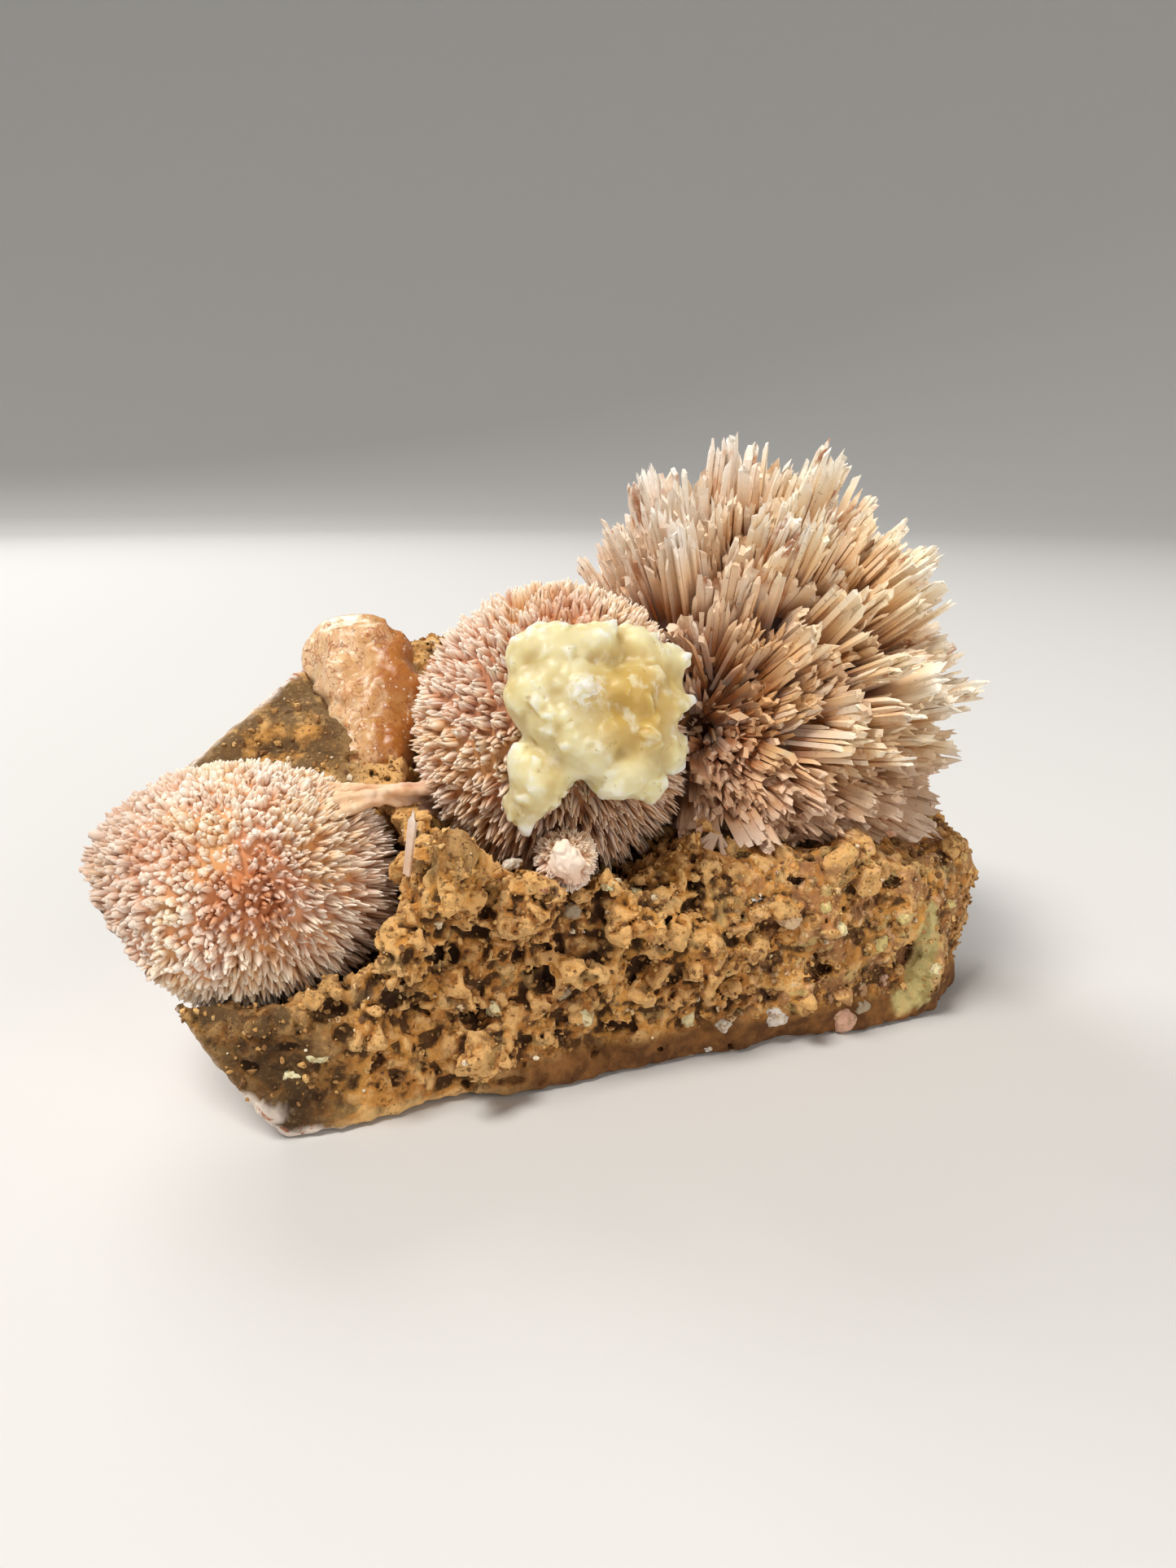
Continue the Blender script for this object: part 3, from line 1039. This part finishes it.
def add_seen_forms(field, tree, draw):
    """The knobs and pits that have places of their own in the photograph."""
    for u, v, size in ROCK_NUBS:
        place, normal = on_surface(tree, u, v)
        for _ in range(3):
            shift = draw.normal(size=3) * size * 0.35
            spot = place + shift - normal * size * 0.45
            add_chunk(field, spot, size * draw.uniform(0.6, 0.95), draw, 0.4)
    for u, v, wide, tall, depth in ROCK_PITS:
        place, normal = on_surface(tree, u, v)
        side = unit(np.cross(UP, normal))
        add_pit(field, place, (wide, tall, depth), np.stack([side, np.cross(normal, side), normal]))


def rock_marks(depth, points, faces, vein, draw):
    """The marks that the rock's material uses; the left cut's lining widens at its lower corner."""
    ripple = 0.7 + 0.3 * soft_noise(points, 5.0, draw)
    corner = fade(-points[:, 0], 34.0, 44.0) * fade(-points[:, 2], -13.0, -4.0) * ripple
    rims = (0.4, 0.6, 0.5 + 0.6 * ripple)
    sawn = [1 - fade(-past_cut(points, cut) / rim, 0.4, 1.0) for cut, rim in zip(SAWN, rims)]
    widths = ((LEFT_CUT, 5.2), (BASE_CUT, 2.8))
    lining = np.min([-past_cut(points, cut) / (1e-3 + width * corner) for cut, width in widths], 0)
    face = fade(points[:, 1], -30.0, -22.0) * fade(-points[:, 0], 14.0, 26.0)
    away = np.min([np.linalg.norm(points - place, axis=1) / size for place, size in vein], 0)
    return {"depth": depth, "sawn": np.max(sawn, 0), "edge": outward_bulge(points, faces, 9), "face": face,
            "lining": 1 - fade(lining, 0.6, 1.0),
            "vein": 1 - fade(away + 0.25 * soft_noise(points, 3.0, draw), 0.85, 1.05)}


def build_rock(material):
    """The crumbly rock: the CAD block, roughened, with lumps, vesicles, pits and knobs."""
    draw = np.random.default_rng(11)
    tree = cad_tree("rock_matrix")
    low, high = (np.array(corner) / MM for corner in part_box("rock_matrix"))
    field = Field(low - ROCK_MARGIN, high + ROCK_MARGIN, ROCK_STEP)
    tree_field(field, tree, 2.0)
    plain = field.values.copy()
    vein = vein_path(tree)
    rough = rock_roughness(field, vein)
    field.values += ROCK_SINK * rough
    for size, height in ROCK_LAYERS:
        field.values += field.noise(size, draw) * height * rough
    field.billow(draw, ROCK_BILLOWS, 0.3, rough)
    add_vesicles(field, vein, draw)
    add_lumps(field, vein, draw)
    add_seen_forms(field, tree, draw)
    field.values += field.lumps(draw, *ROCK_GRIT) * np.maximum(rough, 0.45)
    for centre, radii in ROCK_NEIGHBOURS:
        hold_back(field, plain, np.array(centre), radii)
    for cut in SAWN:
        field.values = np.maximum(field.values, field.past_cut(cut).astype(np.float32))
    points, faces = simplified(*field.skin(), ROCK_TRIANGLES)
    points[:, 2] = np.maximum(points[:, 2], 0.0)
    marks = rock_marks(field.read(plain, points), points, faces, vein, draw)
    add_piece("rock", points, [faces], material, ["rock_matrix"], marks)
    return points, faces, marks["sawn"]


def crumb(subdivisions):
    """A closed round solid of small triangles, as points and faces."""
    mesh = bmesh.new()
    bmesh.ops.create_icosphere(mesh, subdivisions=subdivisions, radius=1.0)
    points = np.array([vert.co for vert in mesh.verts])
    faces = np.array([[vert.index for vert in face.verts] for face in mesh.faces])
    mesh.free()
    return points, faces


def build_grains(rock, material):
    """Crumbs scattered over the rough faces of the rock, half sunk in them."""
    draw = np.random.default_rng(17)
    points, faces, sawn = rock
    corners = points[faces]
    normal, centre = face_normals(corners), corners.mean(1)
    area = np.linalg.norm(normal, axis=1)
    rough = (centre[:, 2] > 6) & (sawn[faces].max(1) < 0.1)
    for place, radii in ROCK_NEIGHBOURS:
        rough &= np.linalg.norm((centre - place) / (np.array(radii) + 0.3), axis=1) > 1
    chosen = draw.choice(len(area), ROCK_GRAINS, p=area * rough / (area * rough).sum())
    shape, sides = crumb(1)
    size = 0.22 + 0.55 * draw.random(ROCK_GRAINS) ** 2.5
    jitter = draw.uniform(0.5, 1.4, (ROCK_GRAINS, len(shape), 1))
    jitter = jitter * draw.uniform(0.6, 1.3, (ROCK_GRAINS, 1, 3))
    place = centre[chosen] + unit(normal[chosen]) * (size * 0.35)[:, None]
    grains = (place[:, None] + shape[None] * jitter * size[:, None, None]).reshape(-1, 3)
    faces = copies(sides, ROCK_GRAINS, len(shape))
    marks = {"tone": np.repeat(draw.random(ROCK_GRAINS), len(shape))}
    add_piece("grains", inside_cuts(grains), [faces], material, [], marks)


def build_inclusions(tree, material):
    """Crystals set in the rock where the photograph shows them, each a facetted lump half sunk in it."""
    draw = np.random.default_rng(19)
    shape, sides = crumb(4)
    all_points, kinds = [], []
    names = list(INCLUSION_COLOURS)
    for u, v, wide, tall, kind in INCLUSIONS:
        place, normal = on_surface(tree, u, v)
        side = unit(np.cross(UP, normal))
        up = np.cross(normal, side)
        cuts = unit(draw.normal(size=(13, 3)))
        reach = np.min(draw.uniform(0.7, 1.0, 13) / np.maximum(shape @ cuts.T, 0.05), 1)
        local = shape * np.minimum(reach, 1.05)[:, None] * np.array([wide, tall, min(wide, tall) * 0.9])
        local += shape * soft_noise(local, 1.1, draw, 2)[:, None] * 0.15
        place = place - normal * min(wide, tall) * 0.5
        all_points.append(place + local[:, :1] * side + local[:, 1:2] * up + local[:, 2:] * normal)
        kinds.append(np.full(len(shape), (names.index(kind) + 0.5) / len(names)))
    points = inside_cuts(np.concatenate(all_points))
    faces = copies(sides, len(INCLUSIONS), len(shape))
    marks = {"kind": np.concatenate(kinds)}
    add_piece("inclusions", points, [faces], material, [], marks, smooth=True)


def tuft_homes(ways, count, draw, pull):
    """Gather directions into tufts: each leans towards the nearest of a number of homes."""
    homes = ways_round(count, draw, 1.4)
    tuft = np.argmax(ways @ homes.T, 1)
    return unit(ways + (homes[tuft] - ways) * pull), tuft


def needle_tips(ball, ways, tuft, whole, shag, trees, rock, draw):
    """How far each needle reaches: uneven by tufts, clear of the neighbours, and just into the rock."""
    lumps = soft_noise(ways * whole[:, None], 9.0, draw, 2)
    rank = draw.normal(size=ball["tufts"])[tuft] * (0.38 + 0.32 * shag)
    tip = whole * 0.958 + 0.54 * lumps + rank + draw.normal(size=len(ways)) * (0.43 + 0.49 * shag)
    tip = np.minimum(tip, whole)
    free = reach_to(trees, ball["centre"], ways, tip)
    ground = reach_to([rock], ball["centre"], ways, tip) + 0.7
    return np.minimum(tip, np.minimum(np.where(free < tip - 0.01, free - 0.3, tip), ground))


def needle_widths(ball, shag, draw):
    """Each needle's usual half width, and its half widths along both axes at every ring."""
    blunt = (draw.random(len(shag)) < ball["blunt"] * (1 - shag))[:, None]
    profile = np.where(blunt, BLUNT_NEEDLE, SHARP_NEEDLE)
    coarse, fine = ball["widths"]
    width = (coarse * (1 - shag) + fine * shag) * draw.uniform(0.6, 1.4, len(shag))
    spans = profile * width[:, None] * (1 + draw.normal(size=profile.shape) * 0.16)
    return width, np.stack([spans, spans * draw.uniform(0.55, 1.1, (len(shag), 1))], -1)


def build_ball(name, ball, patches, trees, rock, cut, material, nodes):
    """A ball of needles round a solid core, finer and longer on its shaggy side."""
    draw = np.random.default_rng(ball["seed"])
    centre, count, pale = (ball[key] for key in ("centre", "needles", "pale"))
    shaggy = unit(ball["shag"])
    roots = ways_round(count, draw, 1.5)
    ways, tuft = tuft_homes(roots, ball["tufts"], draw, ball["pull"])
    ways = unit(ways + draw.normal(size=(count, 3)) * 0.006)
    whole = ball_reach(ball)(ways)
    shag = fade(ways @ shaggy, 0.0, 0.75)
    tip = needle_tips(ball, ways, tuft, whole, shag, trees, rock, draw)
    foot = whole * (ball["core"] - 0.06 * shag - 0.04)
    keep = tip > foot + 0.5
    if cut is not None:
        keep &= past_cut(centre + ways * foot[:, None], cut) < 0
    roots, ways, tip, foot, shag = (part[keep] for part in (roots, ways, tip, foot, shag))
    starts, ends = centre + roots * foot[:, None], centre + ways * tip[:, None]
    side, other = frames_along(unit(ends - starts), draw)
    width, spans = needle_widths(ball, shag, draw)
    points, quads, tips, height, owner = tubes(starts, ends, side, other, spans, width * 0.2, draw)
    inner, shell = round_core(centre, ball_core(ball))
    tone = np.clip(draw.random(len(ways)) + 0.3 * pale, 0, 1)[owner]
    marks = {
        "tip": padded(height + pale * (1 - height) * 0.5, len(inner), 0.15 + 0.45 * pale),
        "tone": padded(tone, len(inner), 0.4),
        "sawn": 0.0,
    }
    faces = [quads, tips, shell + len(points)]
    points = np.concatenate([points, inner])
    if cut is not None:
        marks["sawn"] = 1 - fade(-past_cut(points, cut), -0.05, 0.15)
        points = pressed(points, cut)
    marks["shade"] = fade(unit((points - centre) / ball["radii"]) @ shaggy, 0.1, 0.9) * ball["dark"]
    marks["peach"] = peach_patches(points, patches, ball["peach"], draw) * (1 - marks["sawn"])
    add_piece(name, points, faces, material, nodes, marks, smooth=True)


def peach_patches(points, patches, faint, draw):
    """Peach-orange patches: strong ones at given places, faint ones anywhere."""
    total = faint * fade(soft_noise(points, 10.0, draw), 0.2, 1.0)
    for place, size in patches:
        total += 0.9 * np.exp(-(np.linalg.norm(points - place, axis=1) / size) ** 2)
    return np.clip(total, 0, 1)


def splintered_blades(starts, along, across, lengths, widths, thick, curl, draw, ragged=1.0):
    """Many blades, each a row of fused laths with notched sides that end unevenly in slanting tips.

    Gives points, four-cornered faces, and for each point its height, blade number and lath number.
    """
    thin = np.cross(along, across)
    laths = np.clip(np.round(widths / (LATH * draw.uniform(0.7, 1.5, len(widths)))), 1, 6).astype(int)
    blade = np.repeat(np.arange(len(starts)), laths)
    count = len(blade)
    place = np.arange(count) - np.repeat(np.cumsum(laths) - laths, laths)
    offset = (place + 0.5) / laths[blade] - 0.5
    half = 0.5 * widths[blade] / laths[blade] * draw.uniform(1.0, 1.35, count)
    deep = 0.5 * thick[blade] * draw.uniform(0.55, 1.15, count)
    lift = draw.normal(size=count) * 0.16
    lift = lift + (draw.normal(size=len(starts)) * (0.5 + curl))[blade] * 1.6 * offset**2
    bend = (draw.normal(size=len(starts)) * curl)[blade]
    rounded = draw.uniform(0.0, 9.0, len(starts))[blade] * offset**2
    drop = ragged * (draw.gamma(0.9, 1.7, count) + rounded)
    reach = np.maximum(lengths[blade] - drop, lengths[blade] * 0.5)
    shoulder = np.maximum(reach - draw.uniform(0.4, 2.2, count) * ragged, reach * 0.6)
    corners = np.array([(-1, -1), (1, -1), (1, 1), (-1, 1)], float)
    slant = draw.normal(size=(count, 1)) * 0.6 * corners[:, 0]
    slant = slant + draw.normal(size=(count, 1)) * 0.4 * corners[:, 1]
    splay = draw.normal(size=(count, 2)) * ragged
    rings = ((0.0 * reach, 0.8, 0.0, 0.0), (shoulder, 1.0, 0.6, 0.3),
             (reach, draw.uniform(0.35, 1.15, (count, 1)), 1.0, 1.0))
    points = np.empty((count, len(rings), 4, 3))
    for ring, (forward, size, bent, slanted) in enumerate(rings):
        size = size * draw.uniform(0.8, 1.15, (count, 1))
        shift = splay * 0.32 * bent
        wide = (offset * widths[blade] + shift[:, 0])[:, None] + corners[:, 0] * half[:, None] * size
        raised = (lift + bend * bent + shift[:, 1])[:, None] + corners[:, 1] * deep[:, None] * size
        forward = forward[:, None] + slant * slanted
        points[:, ring] = (starts[blade, None] + along[blade, None] * forward[..., None]
                           + across[blade, None] * wide[..., None] + thin[blade, None] * raised[..., None])
    each = 4 * len(rings)
    last = each - 4
    faces = copies(sleeve(len(rings), 4) + [(last, last + 1, last + 2, last + 3)], count, each)
    height = np.repeat(np.stack([forward / reach for forward, *_ in rings], 1), 4, axis=1).ravel()
    return points.reshape(-1, 3), faces, height, np.repeat(blade, each), np.repeat(np.arange(count), each)


def spray_lengths(length, ways, across, widths, foot, trees, rock):
    """Blade lengths cut back until both edges and the middle are clear of the neighbours and the rock."""
    feet = SPRAY_CENTRE + ways * foot[:, None]
    at_rim = [rock.find_nearest(Vector(place))[3] < SPRAY_RIM[0] for place in feet]
    for shift in (-0.5, 0.0, 0.5):
        edge_ways = ways * length[:, None] + across * (widths * shift)[:, None]
        reach = np.linalg.norm(edge_ways, axis=1)
        edge_ways = edge_ways / reach[:, None]
        free = reach_to(trees, SPRAY_CENTRE, edge_ways, reach)
        ground = reach_to([rock], SPRAY_CENTRE, edge_ways, reach) + 1.5
        ground = np.where(at_rim, np.maximum(ground, foot + SPRAY_RIM[1]), ground)
        limit = np.minimum(np.where(free < reach - 0.01, free - 0.5, reach), ground)
        length = np.minimum(length, limit)
    return length


def build_spray(trees, rock, material):
    """The spray: blades of fused laths in leaning bundles round a dark core, petal-like round its hollow."""
    draw = np.random.default_rng(23)
    roots = ways_round(SPRAY_BLADES, draw, 1.3)
    ways, bundle = tuft_homes(roots, SPRAY_BUNDLES, draw, 0.55)
    whole = spray_reach(ways)
    rank = draw.uniform(-0.18, 0.03, SPRAY_BUNDLES)[bundle]
    length = whole * (1.0 + rank - 0.22 * draw.random(len(ways)) ** 1.4)
    hollow = unit(SPRAY_HOLLOW)
    turn = np.degrees(np.arccos(ways @ hollow))
    petal = np.exp(-((turn / 36) ** 2))
    broad = np.exp(-((np.degrees(np.arccos(ways @ unit(SPRAY_BROAD))) / 30) ** 2))
    widths = np.clip(draw.gamma(4.0, 0.55, len(ways)) * (1 + 1.7 * petal + 1.1 * broad), 0.8, 7.0)
    across = unit(np.cross(ways, hollow))
    twist = (draw.normal(size=SPRAY_BUNDLES)[bundle] * 0.5 + draw.normal(size=len(ways)) * 0.25)[:, None]
    across = across * np.cos(twist) + np.cross(ways, across) * np.sin(twist)
    foot = spray_core(ways) - 0.05 * whole
    length = spray_lengths(length, ways, across, widths, foot, trees, rock)
    keep = (length > foot + 1.2) & (draw.random(len(ways)) > 0.4 * petal)
    roots, ways, across, length, foot, widths, petal = (
        part[keep] for part in (roots, ways, across, length, foot, widths, petal))
    starts, ends = SPRAY_CENTRE + roots * foot[:, None], SPRAY_CENTRE + ways * length[:, None]
    outward = unit(ways - (ways @ hollow)[:, None] * hollow)
    along = unit(unit(ends - starts) + outward * (1.1 * petal * draw.uniform(0.4, 0.9, len(starts)))[:, None])
    across = unit(across - along * np.sum(across * along, 1)[:, None])
    thick = draw.uniform(0.5, 1.3, len(starts))
    points, quads, height, owner, lath = splintered_blades(
        starts, along, across, np.linalg.norm(ends - starts, axis=1), widths, thick, 0.4 + 1.0 * petal, draw)
    inner, shell = round_core(SPRAY_CENTRE, spray_core)
    level = np.linalg.norm(points - SPRAY_ENVELOPE_CENTRE, axis=1) / SPRAY_ENVELOPE_RADIUS
    level = np.clip((level - 0.55) / 0.37, 0, 1) * 0.5 + height * 0.5
    tone = 0.55 * draw.random(len(starts))[owner] + 0.45 * draw.random(lath.max() + 1)[lath]
    rusty = (draw.random(len(starts)) < 0.15)[owner] * (draw.random(lath.max() + 1) < 0.6)[lath]
    marks = {
        "tip": padded(level, len(inner), 0.0),
        "tone": padded(tone, len(inner), 0.4),
        "rust": padded(rusty, len(inner), 0.0),
    }
    faces = [quads, shell + len(points)]
    points = np.concatenate([points, inner])
    add_piece("blades", points, faces, material, ["blade_spray"], marks)


def lobe_field(lobes, step, softness, margin=2.0):
    """A field of soft-joined ellipsoids, each a centre and radii."""
    centres = np.array([centre for centre, _ in lobes], float)
    radii = np.array([radius if isinstance(radius, tuple) else (radius,) * 3 for _, radius in lobes], float)
    field = Field((centres - radii).min(0) - margin, (centres + radii).max(0) + margin, step)
    for centre, radius in zip(centres, radii):
        part, offsets = field.block(centre, radius.max() + 4 * margin)
        distance = (np.linalg.norm(offsets / radius.astype(np.float32), axis=-1) - 1) * radius.min()
        field.join(part, distance, softness)
    return field


def build_yellow(material):
    """The yellow cluster: waxy round lobes at its edge, melted together, with crystal facets in between."""
    draw = np.random.default_rng(31)
    main, facets = [], []
    for x, z, radius in YELLOW_LOBES:
        along, up = x - MIDDLE_BALL["centre"][0], z - MIDDLE_BALL["centre"][2]
        offset = np.array([along, -math.sqrt(YELLOW_SEAT**2 - along**2 - up**2), up])
        place = MIDDLE_BALL["centre"] + offset
        main.append((place, radius * 0.98))
        main.append((MIDDLE_BALL["centre"] + offset * 0.87, radius * 1.05))
        for _ in range(16):
            way = unit(unit(offset) * 0.35 + draw.normal(size=3) * 0.8)
            facets.append((place + way * radius * 0.9, 1.0 + 1.5 * draw.random() ** 2))
    field = lobe_field(main, 0.33, 3.2)
    rounded = field.values.copy()
    for centre, size in facets:
        spot, outward = field.nearest(centre)
        add_chunk(field, spot - outward * size * 0.6, size, draw, 0.3)
    field.values += field.lumps(draw, (3.4, 0.5), (1.3, 0.13))
    points, faces = simplified(*field.skin(), YELLOW_TRIANGLES)
    marks = {"depth": field.read(rounded, points), "edge": outward_bulge(points, faces, 7)}
    add_piece("yellow_crystals", points, [faces], material, ["yellow_cluster"], marks,
              smooth=True)


def build_peach(material):
    """The peach sheaf: broad smooth lobes with a few folds and crystal corners."""
    draw = np.random.default_rng(37)
    field = lobe_field([(place, radius + PEACH_SWELL) for place, radius in PEACH_LOBES], 0.4, 3.2)
    rounded = field.values.copy()
    field.values += field.lumps(draw, (6.0, 0.8), (2.6, 0.3), (1.1, 0.12))
    field.billow(draw, PEACH_BILLOWS, 0.4)
    for centre, radius in PEACH_LOBES:
        for _ in range(3):
            spot = np.array(centre) + unit(draw.normal(size=3)) * radius * 0.95
            add_chunk(field, spot, draw.uniform(0.6, 1.4), draw, 0.5)
    points, faces = simplified(*field.skin(), PEACH_TRIANGLES)
    marks = {"depth": field.read(rounded, points)}
    add_piece("peach_sheaf", points, [faces], material, ["peach_lump"], marks, smooth=True)


def build_bud_nose(material):
    """The smooth pale nose at the lower end of the bud."""
    draw = np.random.default_rng(47)
    lobes = [(BUD_BALL["centre"] + np.array(shift), radius) for shift, radius in BUD_NOSE]
    field = lobe_field(lobes, 0.22, 1.0)
    field.values += field.lumps(draw, (1.4, 0.4), (0.6, 0.3))
    points, faces = field.skin()
    peach = 0.4 * fade(-points[:, 2], -43.0, -39.0)
    marks = {"tip": 0.9, "tone": 0.5, "sawn": 0.0, "shade": 0.0, "peach": peach}
    add_piece("bud_nose", points, [faces], material, [], marks, smooth=True)


def on_ball(ball, u, v, depth):
    """Where a pixel's ray meets a ball's ellipsoid, shrunk by a share, or comes nearest to it."""
    radii = ball["radii"] * depth
    start = (CAMERA_PLACE - ball["centre"]) / radii
    ray = camera_ray(u, v) / radii
    nearest = -(start @ ray) / (ray @ ray)
    gap = 1.0 - np.sum((start + ray * nearest) ** 2)
    nearest -= math.sqrt(max(gap, 0.0) / (ray @ ray))
    return ball["centre"] + unit(start + ray * nearest) * radii


def build_bridge(material):
    """The thin web between the left and middle balls: strands that fan out among the needles of both."""
    draw = np.random.default_rng(41)
    lobes = []
    for side in np.linspace(0, 1, WEB_STRANDS):
        spots = [np.array(first) * (1 - side) + np.array(last) * side + draw.normal(size=2) * wander
                 for (first, last), wander in ((WEB_STARTS, 5.0), (WEB_CROSSING, 0.8), (WEB_ENDS, 4.0))]
        first, last = on_ball(LEFT_BALL, *spots[0], 0.94), on_ball(MIDDLE_BALL, *spots[2], 0.94)
        away = 0.5 * (np.linalg.norm(first - CAMERA_PLACE) + np.linalg.norm(last - CAMERA_PLACE)) - 1.0
        middle = CAMERA_PLACE + camera_ray(*spots[1]) * away
        for share in np.linspace(0, 1, 33):
            if share < 0.5:
                straight = first + (middle - first) * 2 * share
            else:
                straight = middle + (last - middle) * (2 * share - 1)
            curved = first * (1 - share) ** 2 + 2 * middle * share * (1 - share) + last * share**2
            lobes.append((straight * 0.6 + curved * 0.4, WEB_RADIUS * draw.uniform(0.8, 1.2)))
    field = lobe_field(lobes, 0.28, 0.5)
    field.values += field.lumps(draw, (2.0, 0.15), (0.8, 0.12))
    points, faces = simplified(*field.skin(), WEB_TRIANGLES)
    marks = {"tip": 0.72 + 0.12 * soft_noise(points, 3.0, draw), "tone": 0.65, "sawn": 0.0, "shade": 0.0,
             "peach": fade(soft_noise(points, 6.0, draw), 0.0, 1.5) * 0.25}
    add_piece("web", points, [faces], material, ["bridge_web"], marks, smooth=True)


def build_splinters(tree, material):
    """Loose pale blades: a splinter stuck in the rock and a small fan of blades below the spray."""
    draw = np.random.default_rng(43)
    starts, along, lengths, widths = [], [], [], []
    for u, v, tip_u, tip_v, length, width in SPLINTERS:
        place, normal = on_surface(tree, u, v)
        toward = camera_ray(tip_u, tip_v) * np.linalg.norm(place - CAMERA_PLACE) + CAMERA_PLACE - place
        way = unit(unit(toward) + normal * draw.uniform(0.1, 0.7))
        starts.append(place + normal * 1.2 - way * SPLINTER_ROOT)
        along.append(way)
        lengths.append(length + SPLINTER_ROOT)
        widths.append(width)
    along = np.array(along)
    across = unit(np.cross(along, SPLINTER_FACING))
    thick = np.full(len(widths), 0.6)
    points, quads, height, owner, _ = splintered_blades(
        np.array(starts), along, across, np.array(lengths), np.array(widths), thick, 0.2, draw, 0.3)
    marks = {"tip": 0.85 + 0.15 * height, "tone": draw.random(len(widths))[owner], "rust": 0.0}
    add_piece("splinters", points, [quads], material, [], marks)


def add_floor():
    """A plain pale floor that curves up far away on all sides."""
    sides = 96
    turn = np.linspace(0, 2 * math.pi, sides, endpoint=False)
    bend = np.linspace(0, math.pi / 2, 13)
    rings = [(FLOOR_FLAT, 0.0)]
    rings += [(FLOOR_FLAT + FLOOR_BEND * math.sin(a), FLOOR_BEND * (1 - math.cos(a))) for a in bend[1:]]
    points = [(0.0, 0.0, 0.0)]
    points += [(radius * math.cos(a), radius * math.sin(a), height) for radius, height in rings for a in turn]
    faces = [(0, 1 + n, 1 + (n + 1) % sides) for n in range(sides)]
    for level in range(len(rings) - 1):
        first = 1 + level * sides
        faces += [(first + n, first + sides + n, first + sides + (n + 1) % sides, first + (n + 1) % sides)
                  for n in range(sides)]
    mesh = bpy.data.meshes.new("floor")
    mesh.from_pydata(points, [], faces)
    mesh.polygons.foreach_set("use_smooth", np.ones(len(faces), bool))
    look = Look("floor", Roughness=0.9, Specular_IOR_Level=0.1)
    look.colour = (0.66, 0.66, 0.665)
    mesh.materials.append(look.finish())
    floor = bpy.data.objects.new("floor", mesh)
    bpy.context.scene.collection.objects.link(floor)


def add_light(name, place, target, size, power, colour):
    """A soft square light, placed in millimetres."""
    lamp = bpy.data.lights.new(name, "AREA")
    lamp.size, lamp.energy, lamp.color = size * MM, power, colour
    holder = bpy.data.objects.new(name, lamp)
    holder.location = Vector(place) * MM
    holder.rotation_euler = (Vector(target) - Vector(place)).to_track_quat("-Z", "Y").to_euler()
    bpy.context.scene.collection.objects.link(holder)


def add_camera():
    """The photograph's camera."""
    camera = bpy.data.cameras.new("camera")
    camera.lens, camera.sensor_width, camera.sensor_fit = CAMERA_LENS, SENSOR, "AUTO"
    camera.clip_start = 0.01
    holder = bpy.data.objects.new("camera", camera)
    holder.location = Vector(CAMERA_PLACE) * MM
    holder.rotation_euler = (math.pi / 2 - CAMERA_DOWN, 0.0, 0.0)
    bpy.context.scene.collection.objects.link(holder)
    bpy.context.scene.camera = holder


def add_studio():
    """Soft light from the upper left, a cool edge light from behind, and a weak fill."""
    world = bpy.data.worlds.new("studio")
    world.use_nodes = True
    world.node_tree.nodes["Background"].inputs["Color"].default_value = (0.90, 0.87, 0.82, 1.0)
    world.node_tree.nodes["Background"].inputs["Strength"].default_value = 0.24
    scene = bpy.context.scene
    scene.world = world
    scene.view_settings.view_transform = "Standard"
    add_light("key", (-850, -800, 2150), (0, 0, 40), 800, 53.0, (1.0, 0.96, 0.89))
    add_light("edge", (-900, 1300, 1300), (0, 10, 50), 900, 20.0, (1.0, 0.98, 0.95))
    add_light("fill", (1400, -1500, 700), (10, 0, 40), 1400, 16.0, (1.0, 0.93, 0.84))


add_camera()
add_floor()
add_studio()
needles, blades, crystals = needle_look(), blade_look(), inclusion_look()
rock_tree, yellow_tree, peach_tree = map(cad_tree, ("rock_matrix", "yellow_cluster", "peach_lump"))
rock_shape = build_rock(rock_look(on_surface(rock_tree, *KNOB_PIXEL)[0]))
rock_skin = BVHTree.FromPolygons(rock_shape[0].tolist(), rock_shape[1].tolist())
build_grains(rock_shape, grain_look())
build_inclusions(rock_skin, crystals)
left_patches = [(on_ball(LEFT_BALL, u, v, 0.97), size) for u, v, size in LEFT_PATCHES]
middle_patches = [(on_ball(MIDDLE_BALL, u, v, 0.97), size) for u, v, size in MIDDLE_PATCHES]
build_ball("left_needles", LEFT_BALL, left_patches, [peach_tree], rock_tree, LEFT_CUT, needles,
           ["needle_ball_left"])
build_ball("middle_needles", MIDDLE_BALL, middle_patches, [yellow_tree, peach_tree], rock_tree, None, needles,
           ["needle_ball_middle"])
build_ball("bud_needles", BUD_BALL, [], [], rock_tree, None, needles, ["needle_bud"])
build_bud_nose(needles)
middle_core, middle_shell = round_core(MIDDLE_BALL["centre"], ball_reach(MIDDLE_BALL))
middle_tree = BVHTree.FromPolygons(middle_core.tolist(), middle_shell.tolist())
build_spray([yellow_tree, middle_tree], rock_tree, blades)
druse_place, golden_place = (on_surface(yellow_tree, *pixel)[0] for pixel in (DRUSE_PIXEL, GOLDEN_PIXEL))
build_yellow(yellow_look(druse_place, golden_place))
build_peach(peach_look())
build_bridge(needles)
build_splinters(rock_skin, blades)
